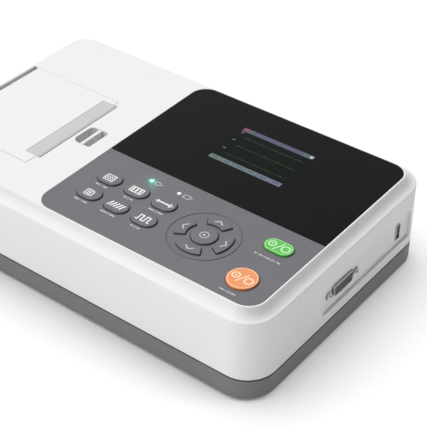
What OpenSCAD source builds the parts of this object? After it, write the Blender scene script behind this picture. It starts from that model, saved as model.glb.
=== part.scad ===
// Tabletop electrocardiograph recorder: a two-part case with a key panel and a display on the right,
// and a strip printer under a lift-up lid on the left.
// Frame: X to the user's right, Y away from the user, Z up. The origin is on the table, under the
// middle of the case.

/* [Case] */
// Width of the case, left to right
case_w = 333.4; // [326:0.2:342]
// Depth of the case, front to back
case_d = 210.2; // [206:0.2:218]
// Height of the dark lower shell
lower_h = 17.2; // [16:0.2:20]
// Height of the white upper shell
upper_h = 55.6; // [54:0.2:62]
// Radius of the case's upright corners
corner_r = 23; // [20:0.5:26]
// Thickness of the case's walls
wall = 2.6; // [2.2:0.1:3]
// Width of the hollow cove round the top
cove_w = 8.4; // [8:0.1:8.8]
// Height of the cove
cove_drop = 7; // [6.8:0.05:7.6]
// Height of the dark groove between the shells
seam_gap = 1.2; // [0.8:0.1:1.6]
// Height that the feet stand out
foot_h = 2.5; // [2:0.1:4]
// Radius of a foot
foot_r = 8; // [6:0.5:10]

/* [Panel] */
// Width of the white bridge between the printer lid and the panel
bridge_w = 36.5; // [35:0.5:40]
// Width of the bright lip round the panel
panel_lip = 1.3; // [1.1:0.1:1.6]
// Thickness of the key fascia and of the display window
panel_t = 2; // [1.6:0.1:2.4]
// Depth of the grey key fascia, front to back
fascia_d = 81.2; // [80:0.1:84]
// Gap between the panel's plates and the case
panel_gap = 0.2; // [0.1:0.05:0.3]
// Width of the display module's glass
lcd_w = 66; // [62:0.5:70]
// Depth of the display module's glass
lcd_d = 50; // [46:0.5:54]

/* [Keys] */
// Width of a function key
fn_key_w = 20; // [18:0.1:21]
// Depth of a function key
fn_key_d = 14; // [13:0.1:15]
// Distance between function keys, left to right
fn_pitch_x = 24.6; // [24:0.1:25.5]
// Distance between the two rows of function keys
fn_pitch_y = 21.7; // [19:0.1:23]
// Radius of the OK key
ok_r = 9.7; // [8.5:0.1:10]
// Inner radius of the arrow keys
arrow_r_in = 12.6; // [12.4:0.1:13]
// Outer radius of the arrow keys
arrow_r_out = 21; // [19.5:0.1:21.5]
// Angle that an arrow key spans
arrow_span = 62; // [54:1:66]
// Radius of the groove round the arrow keys
ring_r = 25.4; // [24.5:0.1:26.5]
// Radius of the orange power key
power_r = 11.2; // [10:0.1:11.6]
// Width of the green start key
start_w = 22.6; // [21:0.1:23.4]
// Depth of the green start key
start_d = 14.2; // [13:0.1:15]
// Height of the keys above the fascia
key_rise = 1.3; // [0.9:0.1:1.8]
// Travel of every key
key_travel = 1; // [0.6:0.1:1.2]
// Gap between a key and its hole
key_gap = 0.35; // [0.3:0.05:0.5]

/* [Printer] */
// Width of the printer lid, from its hinge to its free edge
lid_w = 85; // [84:0.5:86]
// Depth of the printer lid, front to back
lid_d = 101; // [100:0.5:103]
// Thickness of the lid
lid_t = 2.4; // [2.2:0.1:2.8]
// Width of the slot behind the lid's hinge
slot_w = 4.5; // [4:0.1:5]
// Width of the tear bar
bar_w = 13.5; // [12.5:0.1:14.5]
// Length that the tear bar runs past the paper, at each end
bar_past = 2.75; // [2:0.05:3.2]
// Room that the lid leaves beside the paper, both sides together
lid_room = 21; // [21:0.5:25]
// Radius of a full paper roll
roll_r = 21.5; // [18:0.5:22]
// Radius of the paper roll's core
core_r = 8.5; // [8:0.1:10]
// Radius of the platen roller
platen_r = 7; // [6:0.1:7]
// Radius of the platen's steel shaft
shaft_r = 3; // [2.5:0.1:3.5]
// Module of the printer's gears
gear_m = 0.6; // [0.58:0.01:0.62]
// Radius of the stepper motor
motor_r = 16; // [14:0.5:17]
// Length of the stepper motor
motor_l = 20; // [16:0.5:22]
// Travel of the lid latch
latch_travel = 2.5; // [1.5:0.1:3]

/* [Connectors] */
// Depth of the recesses round the connectors
recess_depth = 1.8; // [1.2:0.1:2]
// Distance between the patient connector's screws
jack_pitch = 33.32; // [33.3:0.01:33.34]
// Length of the patient connector's D shell
d_shell_w = 25; // [24.8:0.1:25.2]
// Height of the patient connector's D shell
d_shell_h = 8.4; // [8.2:0.1:8.6]
// Radius of the earth post
earth_r = 3; // [2.5:0.1:3.5]

/* [Hidden] */
$fn = 48;

// Heights of the case
floor_z = foot_h + wall;
seam_z = foot_h + lower_h;
deck_z = seam_z + upper_h;
rim_z = deck_z - cove_drop;
// Outline of the raised deck inside the cove
deck_w = case_w - 2 * cove_w;
deck_d = case_d - 2 * cove_w;
deck_r = corner_r - cove_w;
deck_under = deck_z - wall;
side_ceiling = rim_z - wall;
// The cove is an arc that turns this far between the deck and the rim
cove_turn = 74;
cove_chord = sqrt(cove_w * cove_w + cove_drop * cove_drop);
cove_r = cove_chord / (2 * sin(cove_turn / 2));
cove_off = cove_r * cos(cove_turn / 2) / cove_chord;
rim_cut = 0.6;
foot_fillet = 1.6;
lap_gap = 0.15;
lap_t = 1.4;
lap_h = 3;
join = 1;
// Running and press clearances, on a radius
run_gap = 0.05;
press_gap = 0.02;
seat_gap = 0.2;
part_gap = 0.3;

// Panel plates, measured from the panel's near left corner
panel_w = deck_w - 2 * panel_lip - slot_w - lid_w - bridge_w;
panel_d = deck_d - 2 * panel_lip;
panel_r = deck_r - panel_lip;
panel_x = deck_w / 2 - panel_lip - panel_w;
panel_y = -deck_d / 2 + panel_lip;
panel_under = deck_z - panel_t;
panel_floor = panel_under - wall;
function on_panel(x, y) = [panel_x + x, panel_y + y];
keys_y = fascia_d / 2 + 0.3;
// Width of the panel that the keys and their ring leave free, shared out between them
keys_free = panel_w - 2 * fn_pitch_x - fn_key_w - 2 * ring_r - start_w;
keys_left = 15.3 / 45.4;
keys_between = 8 / 45.4;
keys_right = 12.3 / 45.4;
fn_x = keys_left * keys_free + fn_key_w / 2;
pad_x = fn_x + 2 * fn_pitch_x + fn_key_w / 2 + keys_between * keys_free + ring_r;
side_x = panel_w - keys_right * keys_free - start_w / 2;
side_dy = 20.2;
light_y = 68.2;
light_r = 1.6;
lcd_x = panel_w / 2 - 0.4;
lcd_back = 50.5;
lcd_y = panel_d - lcd_back;
key_flange = 1;
key_flange_t = 1;
key_stem_r = 2;
switch_h = 4.5;
switch_w = 6;
board_t = 1.6;
stem_z = panel_under - seat_gap - key_flange_t - 3;
switch_z = stem_z - key_travel - seat_gap;
key_board_z = switch_z - switch_h - board_t;
key_board_edge = 5;
key_board_w = panel_w - 2 * key_board_edge;
key_board_d = fascia_d - 1;
// The opening under the keys clears the flanges of the outermost ones
key_open_x = fn_x - fn_key_w / 2 - key_flange - 1;
key_open_w = side_x + start_w / 2 + key_flange + 1 - key_open_x;
key_open_y = keys_y - side_dy - power_r - key_flange - 1;
key_open_d = light_y + light_r + 3 - key_open_y;
board_posts = [for (x = [2.8, key_board_w - 2.8], y = [3, key_board_d / 2, key_board_d - 3])
    on_panel(key_board_edge + x, 1.6 + y)];
fn_places = [for (row = [1, -1], i = [0 : 2])
    on_panel(fn_x + i * fn_pitch_x, keys_y + row * fn_pitch_y / 2)];
pad_place = on_panel(pad_x, keys_y);
start_place = on_panel(side_x, keys_y + side_dy);
power_place = on_panel(side_x, keys_y - side_dy);
arrow_mid_r = (arrow_r_in + arrow_r_out) / 2;
arrow_places = [for (i = [0 : 3])
    pad_place + arrow_mid_r * [cos(90 * i), sin(90 * i)]];
key_places = concat(fn_places, arrow_places, [pad_place, start_place, power_place]);
ready_place = on_panel(fn_x + fn_pitch_x, light_y);
mains_place = on_panel(fn_x + 2 * fn_pitch_x, light_y);

// Printer: the lid's hinge is its rounded left edge, beside the slot
hinge_r = 2.2;
hinge_pin_r = 1;
hinge_pin_l = 12;
slot_x = -deck_w / 2 + panel_lip;
lid_x = slot_x + slot_w;
hinge_x = lid_x + hinge_r;
hinge_z = deck_z - hinge_r;
lid_end = lid_x + lid_w;
printer_y = -11.8;
// The lid reaches further on its gears' side
gear_side = 2.7;
lid_y0 = printer_y - lid_d / 2 - gear_side;
lid_y1 = lid_y0 + lid_d;
paper_w = lid_d - lid_room;
bar_l = paper_w + 2 * bar_past;
bar_over = 3.2;
bar_t = 1.6;
exit_gap = 0.8;
cheek_t = 3;
cheek_half = paper_w / 2 + 4.2;
platen_x = lid_end - 7.5;
platen_z = deck_z - lid_t - platen_r - 0.8;
platen_l = paper_w + 2;
bush_r = shaft_r + 1.5;
// Gear train, in a plane between the near cheek and the lid's near edge
gear_w = 3.4;
gear_y = lid_y0 + 0.8;
platen_teeth = 20;
idler_teeth = 36;
pinion_teeth = 14;
gear_slack = 0.16;
idler_dist = gear_m * (platen_teeth + idler_teeth) / 2;
// The lid lifts its gear straight out of the idler, along the line of centres
lift_dir = atan2(platen_x - hinge_x, hinge_z - platen_z);
mesh_dir = lift_dir + 180;
idler_x = platen_x + idler_dist * cos(mesh_dir);
idler_z = platen_z + idler_dist * sin(mesh_dir);
idler_phase = lift_dir + 180 / idler_teeth;
pinion_dir = idler_phase - 12 * 360 / idler_teeth;
pinion_dist = gear_m * (idler_teeth + pinion_teeth) / 2;
motor_x = idler_x + pinion_dist * cos(pinion_dir);
motor_z = idler_z + pinion_dist * sin(pinion_dir);
pinion_phase = pinion_dir + 180 + 180 / pinion_teeth;
motor_shaft_r = 1.5;
stud_r = 2;
// Paper tray and roll
tray_t = 2.5;
tray_y0 = lid_y0 - part_gap;
tray_y1 = lid_y1 + part_gap;
tray_right = platen_x + 32;
roll_x = hinge_x + 32;
roll_z = 38;
trough_r = 25;
tray_floor = roll_z - trough_r - tray_t;
tray_shelf = 31;
journal_r = 3;
spindle_r = core_r - 0.6;
// Thermal head: a tilted plate whose face touches the platen's lower right side
head_tilt = 30;
head_gap = 0.3;
head_t = 1.2;
head_l = paper_w + 4;
head_face = platen_r + head_gap;
sink_t = 5.5;
rest_t = 3;
spring_l = 3.5;
spring_r = 2.4;
spring_wire = 0.35;
spring_turns = 4;
spring_y = head_l / 2 - 16;
// Latch: a finger bar in a pocket, on a plate under the deck
pocket_x0 = lid_end + 7;
pocket_w = 15.7;
pocket_d = 22.2;
pocket_skirt = 1.2;
pocket_depth = 6.7;
latch_bar_w = 3.3;
latch_bar_x = pocket_x0 + 6.5;
latch_plate_t = 1.6;
latch_plate_d = pocket_d + 6;
latch_z = deck_z - pocket_depth - part_gap - latch_plate_t;
latch_arm_w = 3;
latch_arm_x = pocket_x0 + pocket_w + 5;

// Case screws and their posts
post_r = 4;
post_z = seam_z + lap_h + 1;
post_x = case_w / 2 - wall - 5.1;
post_y = case_d / 2 - corner_r + 1.9;
mid_post_y = case_d / 2 - wall - post_r - 0.4;
post_places = [
    [post_x, post_y], [-post_x, post_y], [-post_x, -post_y], [post_x, -post_y],
    [-22, mid_post_y], [-22, -mid_post_y]
];
screw_r = 1.5;
screw_head_r = 2.8;
screw_head_h = 2;
screw_bore = screw_r + run_gap;

// Right side recess with the patient connector and the small port
conn_y = -2.8;
conn_z = deck_z - 35;
recess_pad = 1.6;
recess_y0 = conn_y - 24.6;
recess_y1 = case_d / 2 - 20.5;
recess_z0 = conn_z - 12.6;
recess_z1 = conn_z + 11;
recess_floor_x = case_w / 2 - recess_depth;
pad_in_x = recess_floor_x - recess_pad;
flange_w = 39.14;
flange_h = 12.5;
flange_t = 1;
port_y = recess_y1 - 15;
port_z = conn_z - 0.8;
port_w = 5.8;
port_h = 13.2;
port_l = 14;
port_t = 0.4;
tongue_t = 1.8;
// Back: mains inlet and earth post
inlet_x = -case_w / 2 + 48.7;
inlet_z = 42;
inlet_w = 27;
inlet_h = 19.5;
inlet_l = 22;
inlet_cav = 16;
inlet_flange = 2.5;
earth_x = inlet_x + 42;
earth_z = inlet_z;
earth_well_r = 9;
earth_well = 12;
earth_l = 10;
earth_neck_r = earth_r - 0.5;
earth_neck = 1;

// Battery bay, boards and speaker on the lower shell's floor
battery_w = 76;
battery_d = 70;
battery_h = 19;
battery_x = 28;
battery_y = case_d / 2 - 47.1;
bay_gap = 1;
bay_t = 1.6;
door_t = 2;
door_lap = 3;
main_w = 120;
main_y0 = -case_d / 2 + 20.1;
main_y1 = battery_y - battery_d / 2 - bay_gap - bay_t - 7.4;
main_d = main_y1 - main_y0;
main_x = 30;
main_y = (main_y0 + main_y1) / 2;
main_z = floor_z + 6;
power_w = 84;
power_y0 = tray_y1 + tray_t + 1.2;
power_y1 = case_d / 2 - inlet_l + 0.9;
power_d = power_y1 - power_y0;
power_x = -case_w / 2 + 68.7;
power_y = (power_y0 + power_y1) / 2;
power_z = floor_z + 5;
front_w = 46;
front_d = 62;
front_x = pad_in_x - 12 - front_w / 2;
front_z = conn_z - 7;
speaker_x = -case_w / 2 + 38.7;
speaker_y = -case_d / 2 + wall + 17;
speaker_r = 14;
speaker_h = 8;
vent_w = 2;
foot_places = [for (x = [-1, 1], y = [-1, 1]) [x * (case_w / 2 - 30), y * (case_d / 2 - 26)]];

// ---------------------------------------------------------------- shared shapes

module rounded_rect(w, d, r) {
    square([w - 2 * r, d], center = true);
    square([w, d - 2 * r], center = true);
    for (x = [-1, 1], y = [-1, 1])
        translate([x * (w / 2 - r), y * (d / 2 - r)]) circle(r = r);
}

module rounded_plate(w, d, r, z0, z1) {
    translate([0, 0, z0]) linear_extrude(z1 - z0) rounded_rect(w, d, r);
}

module box(x0, x1, y0, y1, z0, z1) {
    translate([x0, y0, z0]) cube([x1 - x0, y1 - y0, z1 - z0]);
}

// A flat outline with round ends, long along X
module obround(w, d) {
    square([w - d, d], center = true);
    for (x = [-1, 1]) translate([x * (w - d) / 2, 0]) circle(r = d / 2);
}

// A cylinder along Y from y0 to y1, at x and z
module rod_y(x, z, r, y0, y1) {
    translate([x, y1, z]) rotate([90, 0, 0]) cylinder(r = r, h = y1 - y0);
}

// A cylinder along X from x0 to x1, at y and z
module rod_x(y, z, r, x0, x1) {
    translate([x0, y, z]) rotate([0, 90, 0]) cylinder(r = r, h = x1 - x0);
}

// Carries a profile, drawn as distance from the corner's axis and height, round a rounded rectangle
module edge_sweep(w, d, r) {
    for (i = [0 : 3]) {
        half_a = (i % 2 == 0 ? w : d) / 2 - r;
        half_b = (i % 2 == 0 ? d : w) / 2 - r;
        rotate([0, 0, 90 * i]) {
            translate([half_a, half_b, 0]) rotate([90, 0, 0]) linear_extrude(2 * half_b) children();
            translate([half_a, half_b, 0]) rotate_extrude(angle = 90) children();
        }
    }
}

// A quarter of a square with its inner circle taken out, for rounding an outer edge
module fillet_cut(r) {
    difference() {
        square(r + join);
        circle(r = r);
    }
}

// Spur gear along Y with involute teeth; phase is the direction of one tooth's middle in the XZ plane
function involute_turn(base, r) = let (a = acos(min(1, base / r))) tan(a) * 180 / PI - a;
function flank_angle(r, pitch, base, half) =
    half + involute_turn(base, pitch) - involute_turn(base, max(r, base));
function gear_points(teeth, phase) = let (
    pitch = gear_m * teeth / 2,
    base = pitch * cos(20),
    half = (90 / teeth) - gear_slack / 2 / pitch * 90 / PI,
    root = pitch - 1.2 * gear_m,
    tip = pitch + 0.92 * gear_m,
    steps = [for (i = [0 : 4]) root + (tip - root) * i / 4]
) [
    for (t = [0 : teeth - 1])
        for (side = [-1, 1])
            for (i = [0 : 4])
                let (
                    r = side < 0 ? steps[i] : steps[4 - i],
                    a = phase + 360 * t / teeth + side * flank_angle(r, pitch, base, half)
                ) r * [cos(a), sin(a)]
];

module spur_gear(x, z, teeth, phase, bore) {
    translate([x, gear_y + gear_w, z]) rotate([90, 0, 0]) difference() {
        linear_extrude(gear_w) polygon(gear_points(teeth, phase));
        translate([0, 0, -join]) cylinder(r = bore, h = gear_w + 2 * join);
    }
}

// Coil spring along Z as one unbroken tube of the wire
function coil_point(a, r, pitch) = [r * cos(a), r * sin(a), a / 360 * pitch];
module coil_spring(r, wire, turns, length) {
    sides = 6;
    per_turn = 12;
    rings = per_turn * turns;
    pitch = (length - 2 * wire) / turns;
    points = [
        for (i = [0 : rings])
            let (
                a = 360 * i / per_turn,
                c = coil_point(a, r - wire, pitch),
                out = [cos(a), sin(a), 0]
            )
            for (k = [0 : sides - 1])
                c + wire * (cos(360 * k / sides) * out + sin(360 * k / sides) * [0, 0, 1])
                  + [0, 0, wire]
    ];
    faces = concat(
        [[for (k = [0 : sides - 1]) k]],
        [for (i = [0 : rings - 1], k = [0 : sides - 1])
            [i * sides + k, (i + 1) * sides + k, (i + 1) * sides + (k + 1) % sides]],
        [for (i = [0 : rings - 1], k = [0 : sides - 1])
            [i * sides + k, (i + 1) * sides + (k + 1) % sides, i * sides + (k + 1) % sides]],
        [[for (k = [sides - 1 : -1 : 0]) rings * sides + k]]
    );
    polyhedron(points, faces);
}

// ---------------------------------------------------------------- case

// What the cove takes away: a circle's arc from the deck to the rim, and a chamfer at the rim
module cove_profile() {
    intersection() {
        translate([
            corner_r - cove_w / 2 + cove_off * cove_drop,
            deck_z - cove_drop / 2 + cove_off * cove_w
        ]) circle(r = cove_r);
        translate([corner_r - cove_w - join, rim_z - join])
            square([cove_w + 2 * join, cove_drop + 2 * join]);
    }
    polygon([
        [corner_r - rim_cut - 0.2, rim_z + join], [corner_r - rim_cut - 0.2, rim_z + 0.2],
        [corner_r + 0.2, rim_z - rim_cut - 0.2], [corner_r + join, rim_z - rim_cut - 0.2],
        [corner_r + join, rim_z + join]
    ]);
}

module upper_body() {
    difference() {
        rounded_plate(case_w, case_d, corner_r, seam_z, deck_z);
        edge_sweep(case_w, case_d, corner_r) cove_profile();
    }
}

module upper_cavity() {
    rounded_plate(case_w - 2 * wall, case_d - 2 * wall, corner_r - wall, seam_z - join, side_ceiling);
    rounded_plate(deck_w - 2 * wall, deck_d - 2 * wall, deck_r - wall, side_ceiling - join, deck_under);
}

module panel_outline(z0, z1, gap) {
    translate([panel_x + panel_w / 2, 0, 0])
        rounded_plate(panel_w - 2 * gap, panel_d - 2 * gap, panel_r - gap, z0, z1);
}

module lid_opening(z0) {
    box(slot_x, lid_end + part_gap, lid_y0 - part_gap, lid_y1 + part_gap, z0, deck_z + join);
    box(lid_end, lid_end + bar_over + exit_gap, printer_y - bar_l / 2 - part_gap,
        printer_y + bar_l / 2 + part_gap, z0, deck_z + join);
}

module pocket_block(grow, z0, z1) {
    translate([pocket_x0 + pocket_w / 2, printer_y, 0])
        rounded_plate(pocket_w + 2 * grow, pocket_d + 2 * grow, 1.5 + grow, z0, z1);
}

module upper_bosses() {
    // floor under the panel's plates
    translate([panel_x + panel_w / 2, 0, 0])
        rounded_plate(panel_w + 2, panel_d + 2, panel_r, panel_floor, deck_under + join);
    // skirt round the latch pocket
    pocket_block(pocket_skirt, deck_z - pocket_depth, deck_under + join);
    // hinge blocks at both ends of the lid
    for (y = [lid_y0 - part_gap - 7, lid_y1 + part_gap])
        box(hinge_x - 3, hinge_x + 3, y, y + 7, hinge_z - 3, deck_under + join);
    // posts for the case screws
    for (p = post_places)
        translate([p[0], p[1], post_z]) cylinder(r = post_r, h = side_ceiling + join - post_z);
    // posts for the key board
    for (p = board_posts)
        translate([p[0], p[1], key_board_z + board_t])
            cylinder(r = 2.6, h = panel_floor + join - key_board_z - board_t);
    // thickened wall behind the recesses
    box(pad_in_x, case_w / 2 - wall + join, recess_y0 - 2, recess_y1 + 2, recess_z0 - 2, recess_z1 + 2);
    box(inlet_x - inlet_w / 2 - 6, earth_x + earth_well_r + 4, case_d / 2 - recess_depth - recess_pad,
        case_d / 2 - wall + join, inlet_z - 15, inlet_z + 15);
    // cup round the earth post
    translate([earth_x, case_d / 2 - wall + join, earth_z]) rotate([90, 0, 0])
        cylinder(r = earth_well_r + 1.8, h = earth_well - wall + join + 1.8);
    // guides that carry the latch's plate, with a lip under each edge
    for (s = [-1, 1]) {
        edge = printer_y + s * (latch_plate_d / 2 + part_gap);
        box(pocket_x0 + 6, pocket_x0 + 16, min(edge, edge + 2 * s), max(edge, edge + 2 * s),
            latch_z - part_gap - 1.2, deck_under + join);
        box(pocket_x0 + 6, pocket_x0 + 16, min(edge - 2 * s, edge + 2 * s),
            max(edge - 2 * s, edge + 2 * s), latch_z - part_gap - 1.2, latch_z - part_gap);
    }
}

module recess_cut(half_w, half_h, r, depth) {
    linear_extrude(depth + join) rounded_rect(2 * half_w, 2 * half_h, r);
}

module upper_cuts() {
    panel_outline(panel_under, deck_z + join, 0);
    // openings under the keys and the display
    translate([panel_x + key_open_x, panel_y + key_open_y, panel_floor - join])
        cube([key_open_w, key_open_d, wall + 2 * join]);
    translate([panel_x + lcd_x, panel_y + lcd_y, panel_floor - join])
        translate([-lcd_w / 2 - part_gap, -lcd_d / 2 - part_gap, 0])
            cube([lcd_w + 2 * part_gap, lcd_d + 2 * part_gap, wall + 2 * join]);
    lid_opening(deck_z - wall - 6);
    pocket_block(0, deck_z - pocket_depth - join, deck_z + join);
    for (y = [lid_y0 - part_gap - 7 + join, lid_y1 + part_gap - join])
        rod_y(hinge_x, hinge_z, hinge_pin_r + run_gap, y, y + 7);
    for (p = post_places)
        translate([p[0], p[1], post_z - join]) cylinder(r = screw_bore, h = 14);
    for (p = board_posts)
        translate([p[0], p[1], key_board_z]) cylinder(r = 1.05, h = 7);
    // right side recess and its openings
    translate([recess_floor_x, (recess_y0 + recess_y1) / 2, (recess_z0 + recess_z1) / 2])
        rotate([90, 0, 90])
            recess_cut((recess_y1 - recess_y0) / 2, (recess_z1 - recess_z0) / 2, 3, recess_depth);
    box(pad_in_x - join, case_w / 2, conn_y - d_shell_w / 2 - 0.5, conn_y + d_shell_w / 2 + 0.5,
        conn_z - d_shell_h / 2 - 0.5, conn_z + d_shell_h / 2 + 0.5);
    for (s = [-1, 1]) rod_x(conn_y + s * jack_pitch / 2, conn_z, 3.2, pad_in_x - join, case_w / 2);
    box(pad_in_x - join, case_w / 2, port_y - port_w / 2 - seat_gap, port_y + port_w / 2 + seat_gap,
        port_z - port_h / 2 - seat_gap, port_z + port_h / 2 + seat_gap);
    // mains inlet and earth post at the back
    translate([inlet_x, case_d / 2 - recess_depth, inlet_z]) rotate([-90, 0, 0])
        recess_cut(inlet_w / 2 + inlet_flange + seat_gap, inlet_h / 2 + inlet_flange + seat_gap, 2,
            recess_depth);
    box(inlet_x - inlet_w / 2 - seat_gap, inlet_x + inlet_w / 2 + seat_gap, case_d / 2 - 8, case_d / 2,
        inlet_z - inlet_h / 2 - seat_gap, inlet_z + inlet_h / 2 + seat_gap);
    rod_y(earth_x, earth_z, earth_well_r, case_d / 2 - earth_well, case_d / 2 + join);
    rod_y(earth_x, earth_z, earth_neck_r + press_gap, case_d / 2 - earth_well - 5, case_d / 2 - earth_well + join);
    // air slots at the back
    for (i = [0 : 9])
        box(30 + 8 * i - vent_w / 2, 30 + 8 * i + vent_w / 2, case_d / 2 - wall - join,
            case_d / 2 + join, 34, 54);
}

module top_case() {
    color("white") difference() {
        union() {
            difference() {
                upper_body();
                upper_cavity();
            }
            upper_bosses();
        }
        upper_cuts();
    }
}

module lower_edge_cut() {
    translate([corner_r - foot_fillet, foot_h + foot_fillet]) mirror([0, 1]) fillet_cut(foot_fillet);
}

module lap_ring(inset, z0, z1) {
    difference() {
        rounded_plate(case_w - 2 * inset, case_d - 2 * inset, corner_r - inset, z0, z1);
        rounded_plate(case_w - 2 * (wall + lap_gap + lap_t), case_d - 2 * (wall + lap_gap + lap_t),
            corner_r - wall - lap_gap - lap_t, z0 - join, z1 + join);
    }
}

module battery_bay(grow, z0, z1) {
    box(battery_x - battery_w / 2 - grow, battery_x + battery_w / 2 + grow,
        battery_y - battery_d / 2 - grow, battery_y + battery_d / 2 + grow, z0, z1);
}

battery_z0 = foot_h + door_t + seat_gap;
bay_top = battery_z0 + battery_h + bay_gap;

module board_post(x, y, top) {
    translate([x, y, foot_h + 1]) cylinder(r = 3, h = top - foot_h - 1);
}

function corners(x, y, w, d, in) =
    [for (i = [-1, 1], j = [-1, 1]) [x + i * (w / 2 - in), y + j * (d / 2 - in)]];

main_posts = corners(main_x, main_y, main_w, main_d, 4);
power_posts = corners(power_x, power_y, power_w, power_d, 4);
front_posts = corners(front_x, conn_y, front_w, front_d, 4);

module bottom_case() {
    rim = seam_z - seam_gap;
    color("dimgray") difference() {
        union() {
            difference() {
                rounded_plate(case_w, case_d, corner_r, foot_h, rim);
                rounded_plate(case_w - 2 * wall, case_d - 2 * wall, corner_r - wall, floor_z, rim + join);
                edge_sweep(case_w, case_d, corner_r) lower_edge_cut();
            }
            lap_ring(wall - 0.6, rim - 4, rim);
            lap_ring(wall + lap_gap, rim - join, seam_z + lap_h);
            for (p = post_places)
                translate([p[0], p[1], foot_h + 1]) cylinder(r = post_r, h = post_z - foot_h - 1);
            battery_bay(bay_gap + bay_t, foot_h + 1, bay_top + bay_t);
            for (p = main_posts) board_post(p[0], p[1], main_z);
            for (p = power_posts) board_post(p[0], p[1], power_z);
            for (p = front_posts) board_post(p[0], p[1], front_z);
            for (x = door_screw_x)
                translate([x, door_screw_y, foot_h + 1]) cylinder(r = 2.8, h = door_t + 8);
            // ring that holds the speaker
            translate([speaker_x, speaker_y, foot_h + 1])
                cylinder(r = speaker_r + seat_gap + 1.4, h = wall + 2);
        }
        battery_bay(bay_gap, foot_h - join, bay_top);
        battery_bay(bay_gap + door_lap, foot_h - join, foot_h + door_t);
        for (p = post_places) {
            translate([p[0], p[1], foot_h - join]) cylinder(r = screw_bore, h = post_z);
            translate([p[0], p[1], foot_h - join])
                cylinder(r = screw_head_r + seat_gap, h = 4 + join);
        }
        for (p = concat(main_posts, power_posts, front_posts))
            translate([p[0], p[1], floor_z + 0.5]) cylinder(r = 1.05, h = deck_z);
        translate([speaker_x, speaker_y, floor_z])
            cylinder(r = speaker_r + seat_gap, h = wall + 4);
        // sound slots under the speaker
        for (i = [-3 : 3])
            box(speaker_x + 3.4 * i - 0.8, speaker_x + 3.4 * i + 0.8,
                speaker_y - sqrt(pow(speaker_r - 2, 2) - pow(3.4 * i, 2)) * 0.9,
                speaker_y + sqrt(pow(speaker_r - 2, 2) - pow(3.4 * i, 2)) * 0.9,
                foot_h - join, floor_z + join);
        // seats for the feet
        for (p = foot_places)
            translate([p[0], p[1], foot_h - join]) cylinder(r = foot_r + seat_gap, h = 0.8 + join);
        door_ears(seat_gap, foot_h - join, foot_h + door_t);
        for (x = door_screw_x)
            translate([x, door_screw_y, foot_h - join]) cylinder(r = 1.2 + run_gap, h = 10);
    }
}

door_screw_y = battery_y - battery_d / 2 - bay_gap - 5;
door_screw_x = [battery_x - 24, battery_x + 24];

module door_ears(grow, z0, z1) {
    for (x = door_screw_x)
        box(x - 5 - grow, x + 5 + grow, door_screw_y - 5 - grow, door_screw_y + 6, z0, z1);
}

module battery_door() {
    grow = bay_gap + door_lap - seat_gap;
    color("dimgray") difference() {
        union() {
            battery_bay(grow, foot_h, foot_h + door_t);
            door_ears(0, foot_h, foot_h + door_t);
        }
        for (x = door_screw_x) {
            translate([x, door_screw_y, foot_h - join]) cylinder(r = 1.2 + run_gap, h = door_t + 2);
            translate([x, door_screw_y, foot_h - join]) cylinder(r = 2.2 + seat_gap, h = join + 1.1);
        }
        // grip ribs
        for (i = [-3 : 3])
            box(battery_x + 4 * i - 0.8, battery_x + 4 * i + 0.8, battery_y + 20, battery_y + 30,
                foot_h - join, foot_h + 0.6);
    }
}

module door_screws() {
    color("silver") for (x = door_screw_x) translate([x, door_screw_y, foot_h]) {
        translate([0, 0, 0.1]) difference() {
            cylinder(r = 2.2, h = 1);
            cross_slot(1.6);
        }
        cylinder(r = 1.2, h = 8);
    }
}

module cross_slot(l) {
    for (a = [0, 90]) rotate([0, 0, a]) translate([-l, -0.35, -join]) cube([2 * l, 0.7, join + 0.6]);
}

module battery_pack() {
    color("steelblue") {
        battery_bay(0, battery_z0, battery_z0 + battery_h);
    }
}

module rubber_feet() {
    color("black") for (p = foot_places) translate([p[0], p[1], 0]) {
        rotate_extrude() difference() {
            square([foot_r, foot_h + 0.8]);
            translate([foot_r - 1, 1]) mirror([0, 1]) fillet_cut(1);
        }
    }
}

module case_screws() {
    color("silver") for (p = post_places) translate([p[0], p[1], foot_h + 4]) {
        translate([0, 0, -screw_head_h]) difference() {
            cylinder(r = screw_head_r, h = screw_head_h);
            cross_slot(1.9);
        }
        cylinder(r = screw_r, h = post_z + 10 - foot_h - 4);
    }
}

// ---------------------------------------------------------------- boards

module board(x, y, w, d, z, holes) {
    difference() {
        box(x - w / 2, x + w / 2, y - d / 2, y + d / 2, z, z + board_t);
        for (p = holes) translate([p[0], p[1], z - join]) cylinder(r = 1.6, h = board_t + 2 * join);
    }
}

module chip(x, y, z, w, d, h) {
    translate([x - w / 2, y - d / 2, z]) cube([w, d, h]);
}

module main_board() {
    color("darkgreen") board(main_x, main_y, main_w, main_d, main_z, main_posts);
}

module main_board_parts() {
    z = main_z + board_t;
    u = main_w / 12;
    v = main_d / 9.8;
    color("black") {
        chip(main_x - u, main_y + 0.8 * v, z, 2.4 * u, 2.4 * v, 1.6);
        chip(main_x + 2.4 * u, main_y + 1.4 * v, z, 1.8 * u, v, 1.2);
        chip(main_x + 2.4 * u, main_y - 0.4 * v, z, 1.8 * u, v, 1.2);
        chip(main_x - 3.8 * u, main_y + 2 * v, z, 1.2 * u, 1.2 * v, 1.4);
        chip(main_x - 3.6 * u, main_y - 1.8 * v, z, u, 1.4 * v, 1.4);
    }
    color("ivory") {
        chip(main_x - 2 * u, main_y + 4.2 * v, z, 4 * u, 0.6 * v, 7);
        chip(main_x + 3 * u, main_y + 4.2 * v, z, 2.4 * u, 0.6 * v, 7);
        chip(main_x + 5.4 * u, main_y - v, z, 0.6 * u, 3.4 * v, 7);
    }
    color("silver") for (i = [0 : 2])
        translate([main_x - 4.8 * u, main_y + (1.4 * i - 3) * v, z]) cylinder(r = 4, h = 9);
}

module power_board() {
    color("darkgreen") board(power_x, power_y, power_w, power_d, power_z, power_posts);
}

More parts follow.
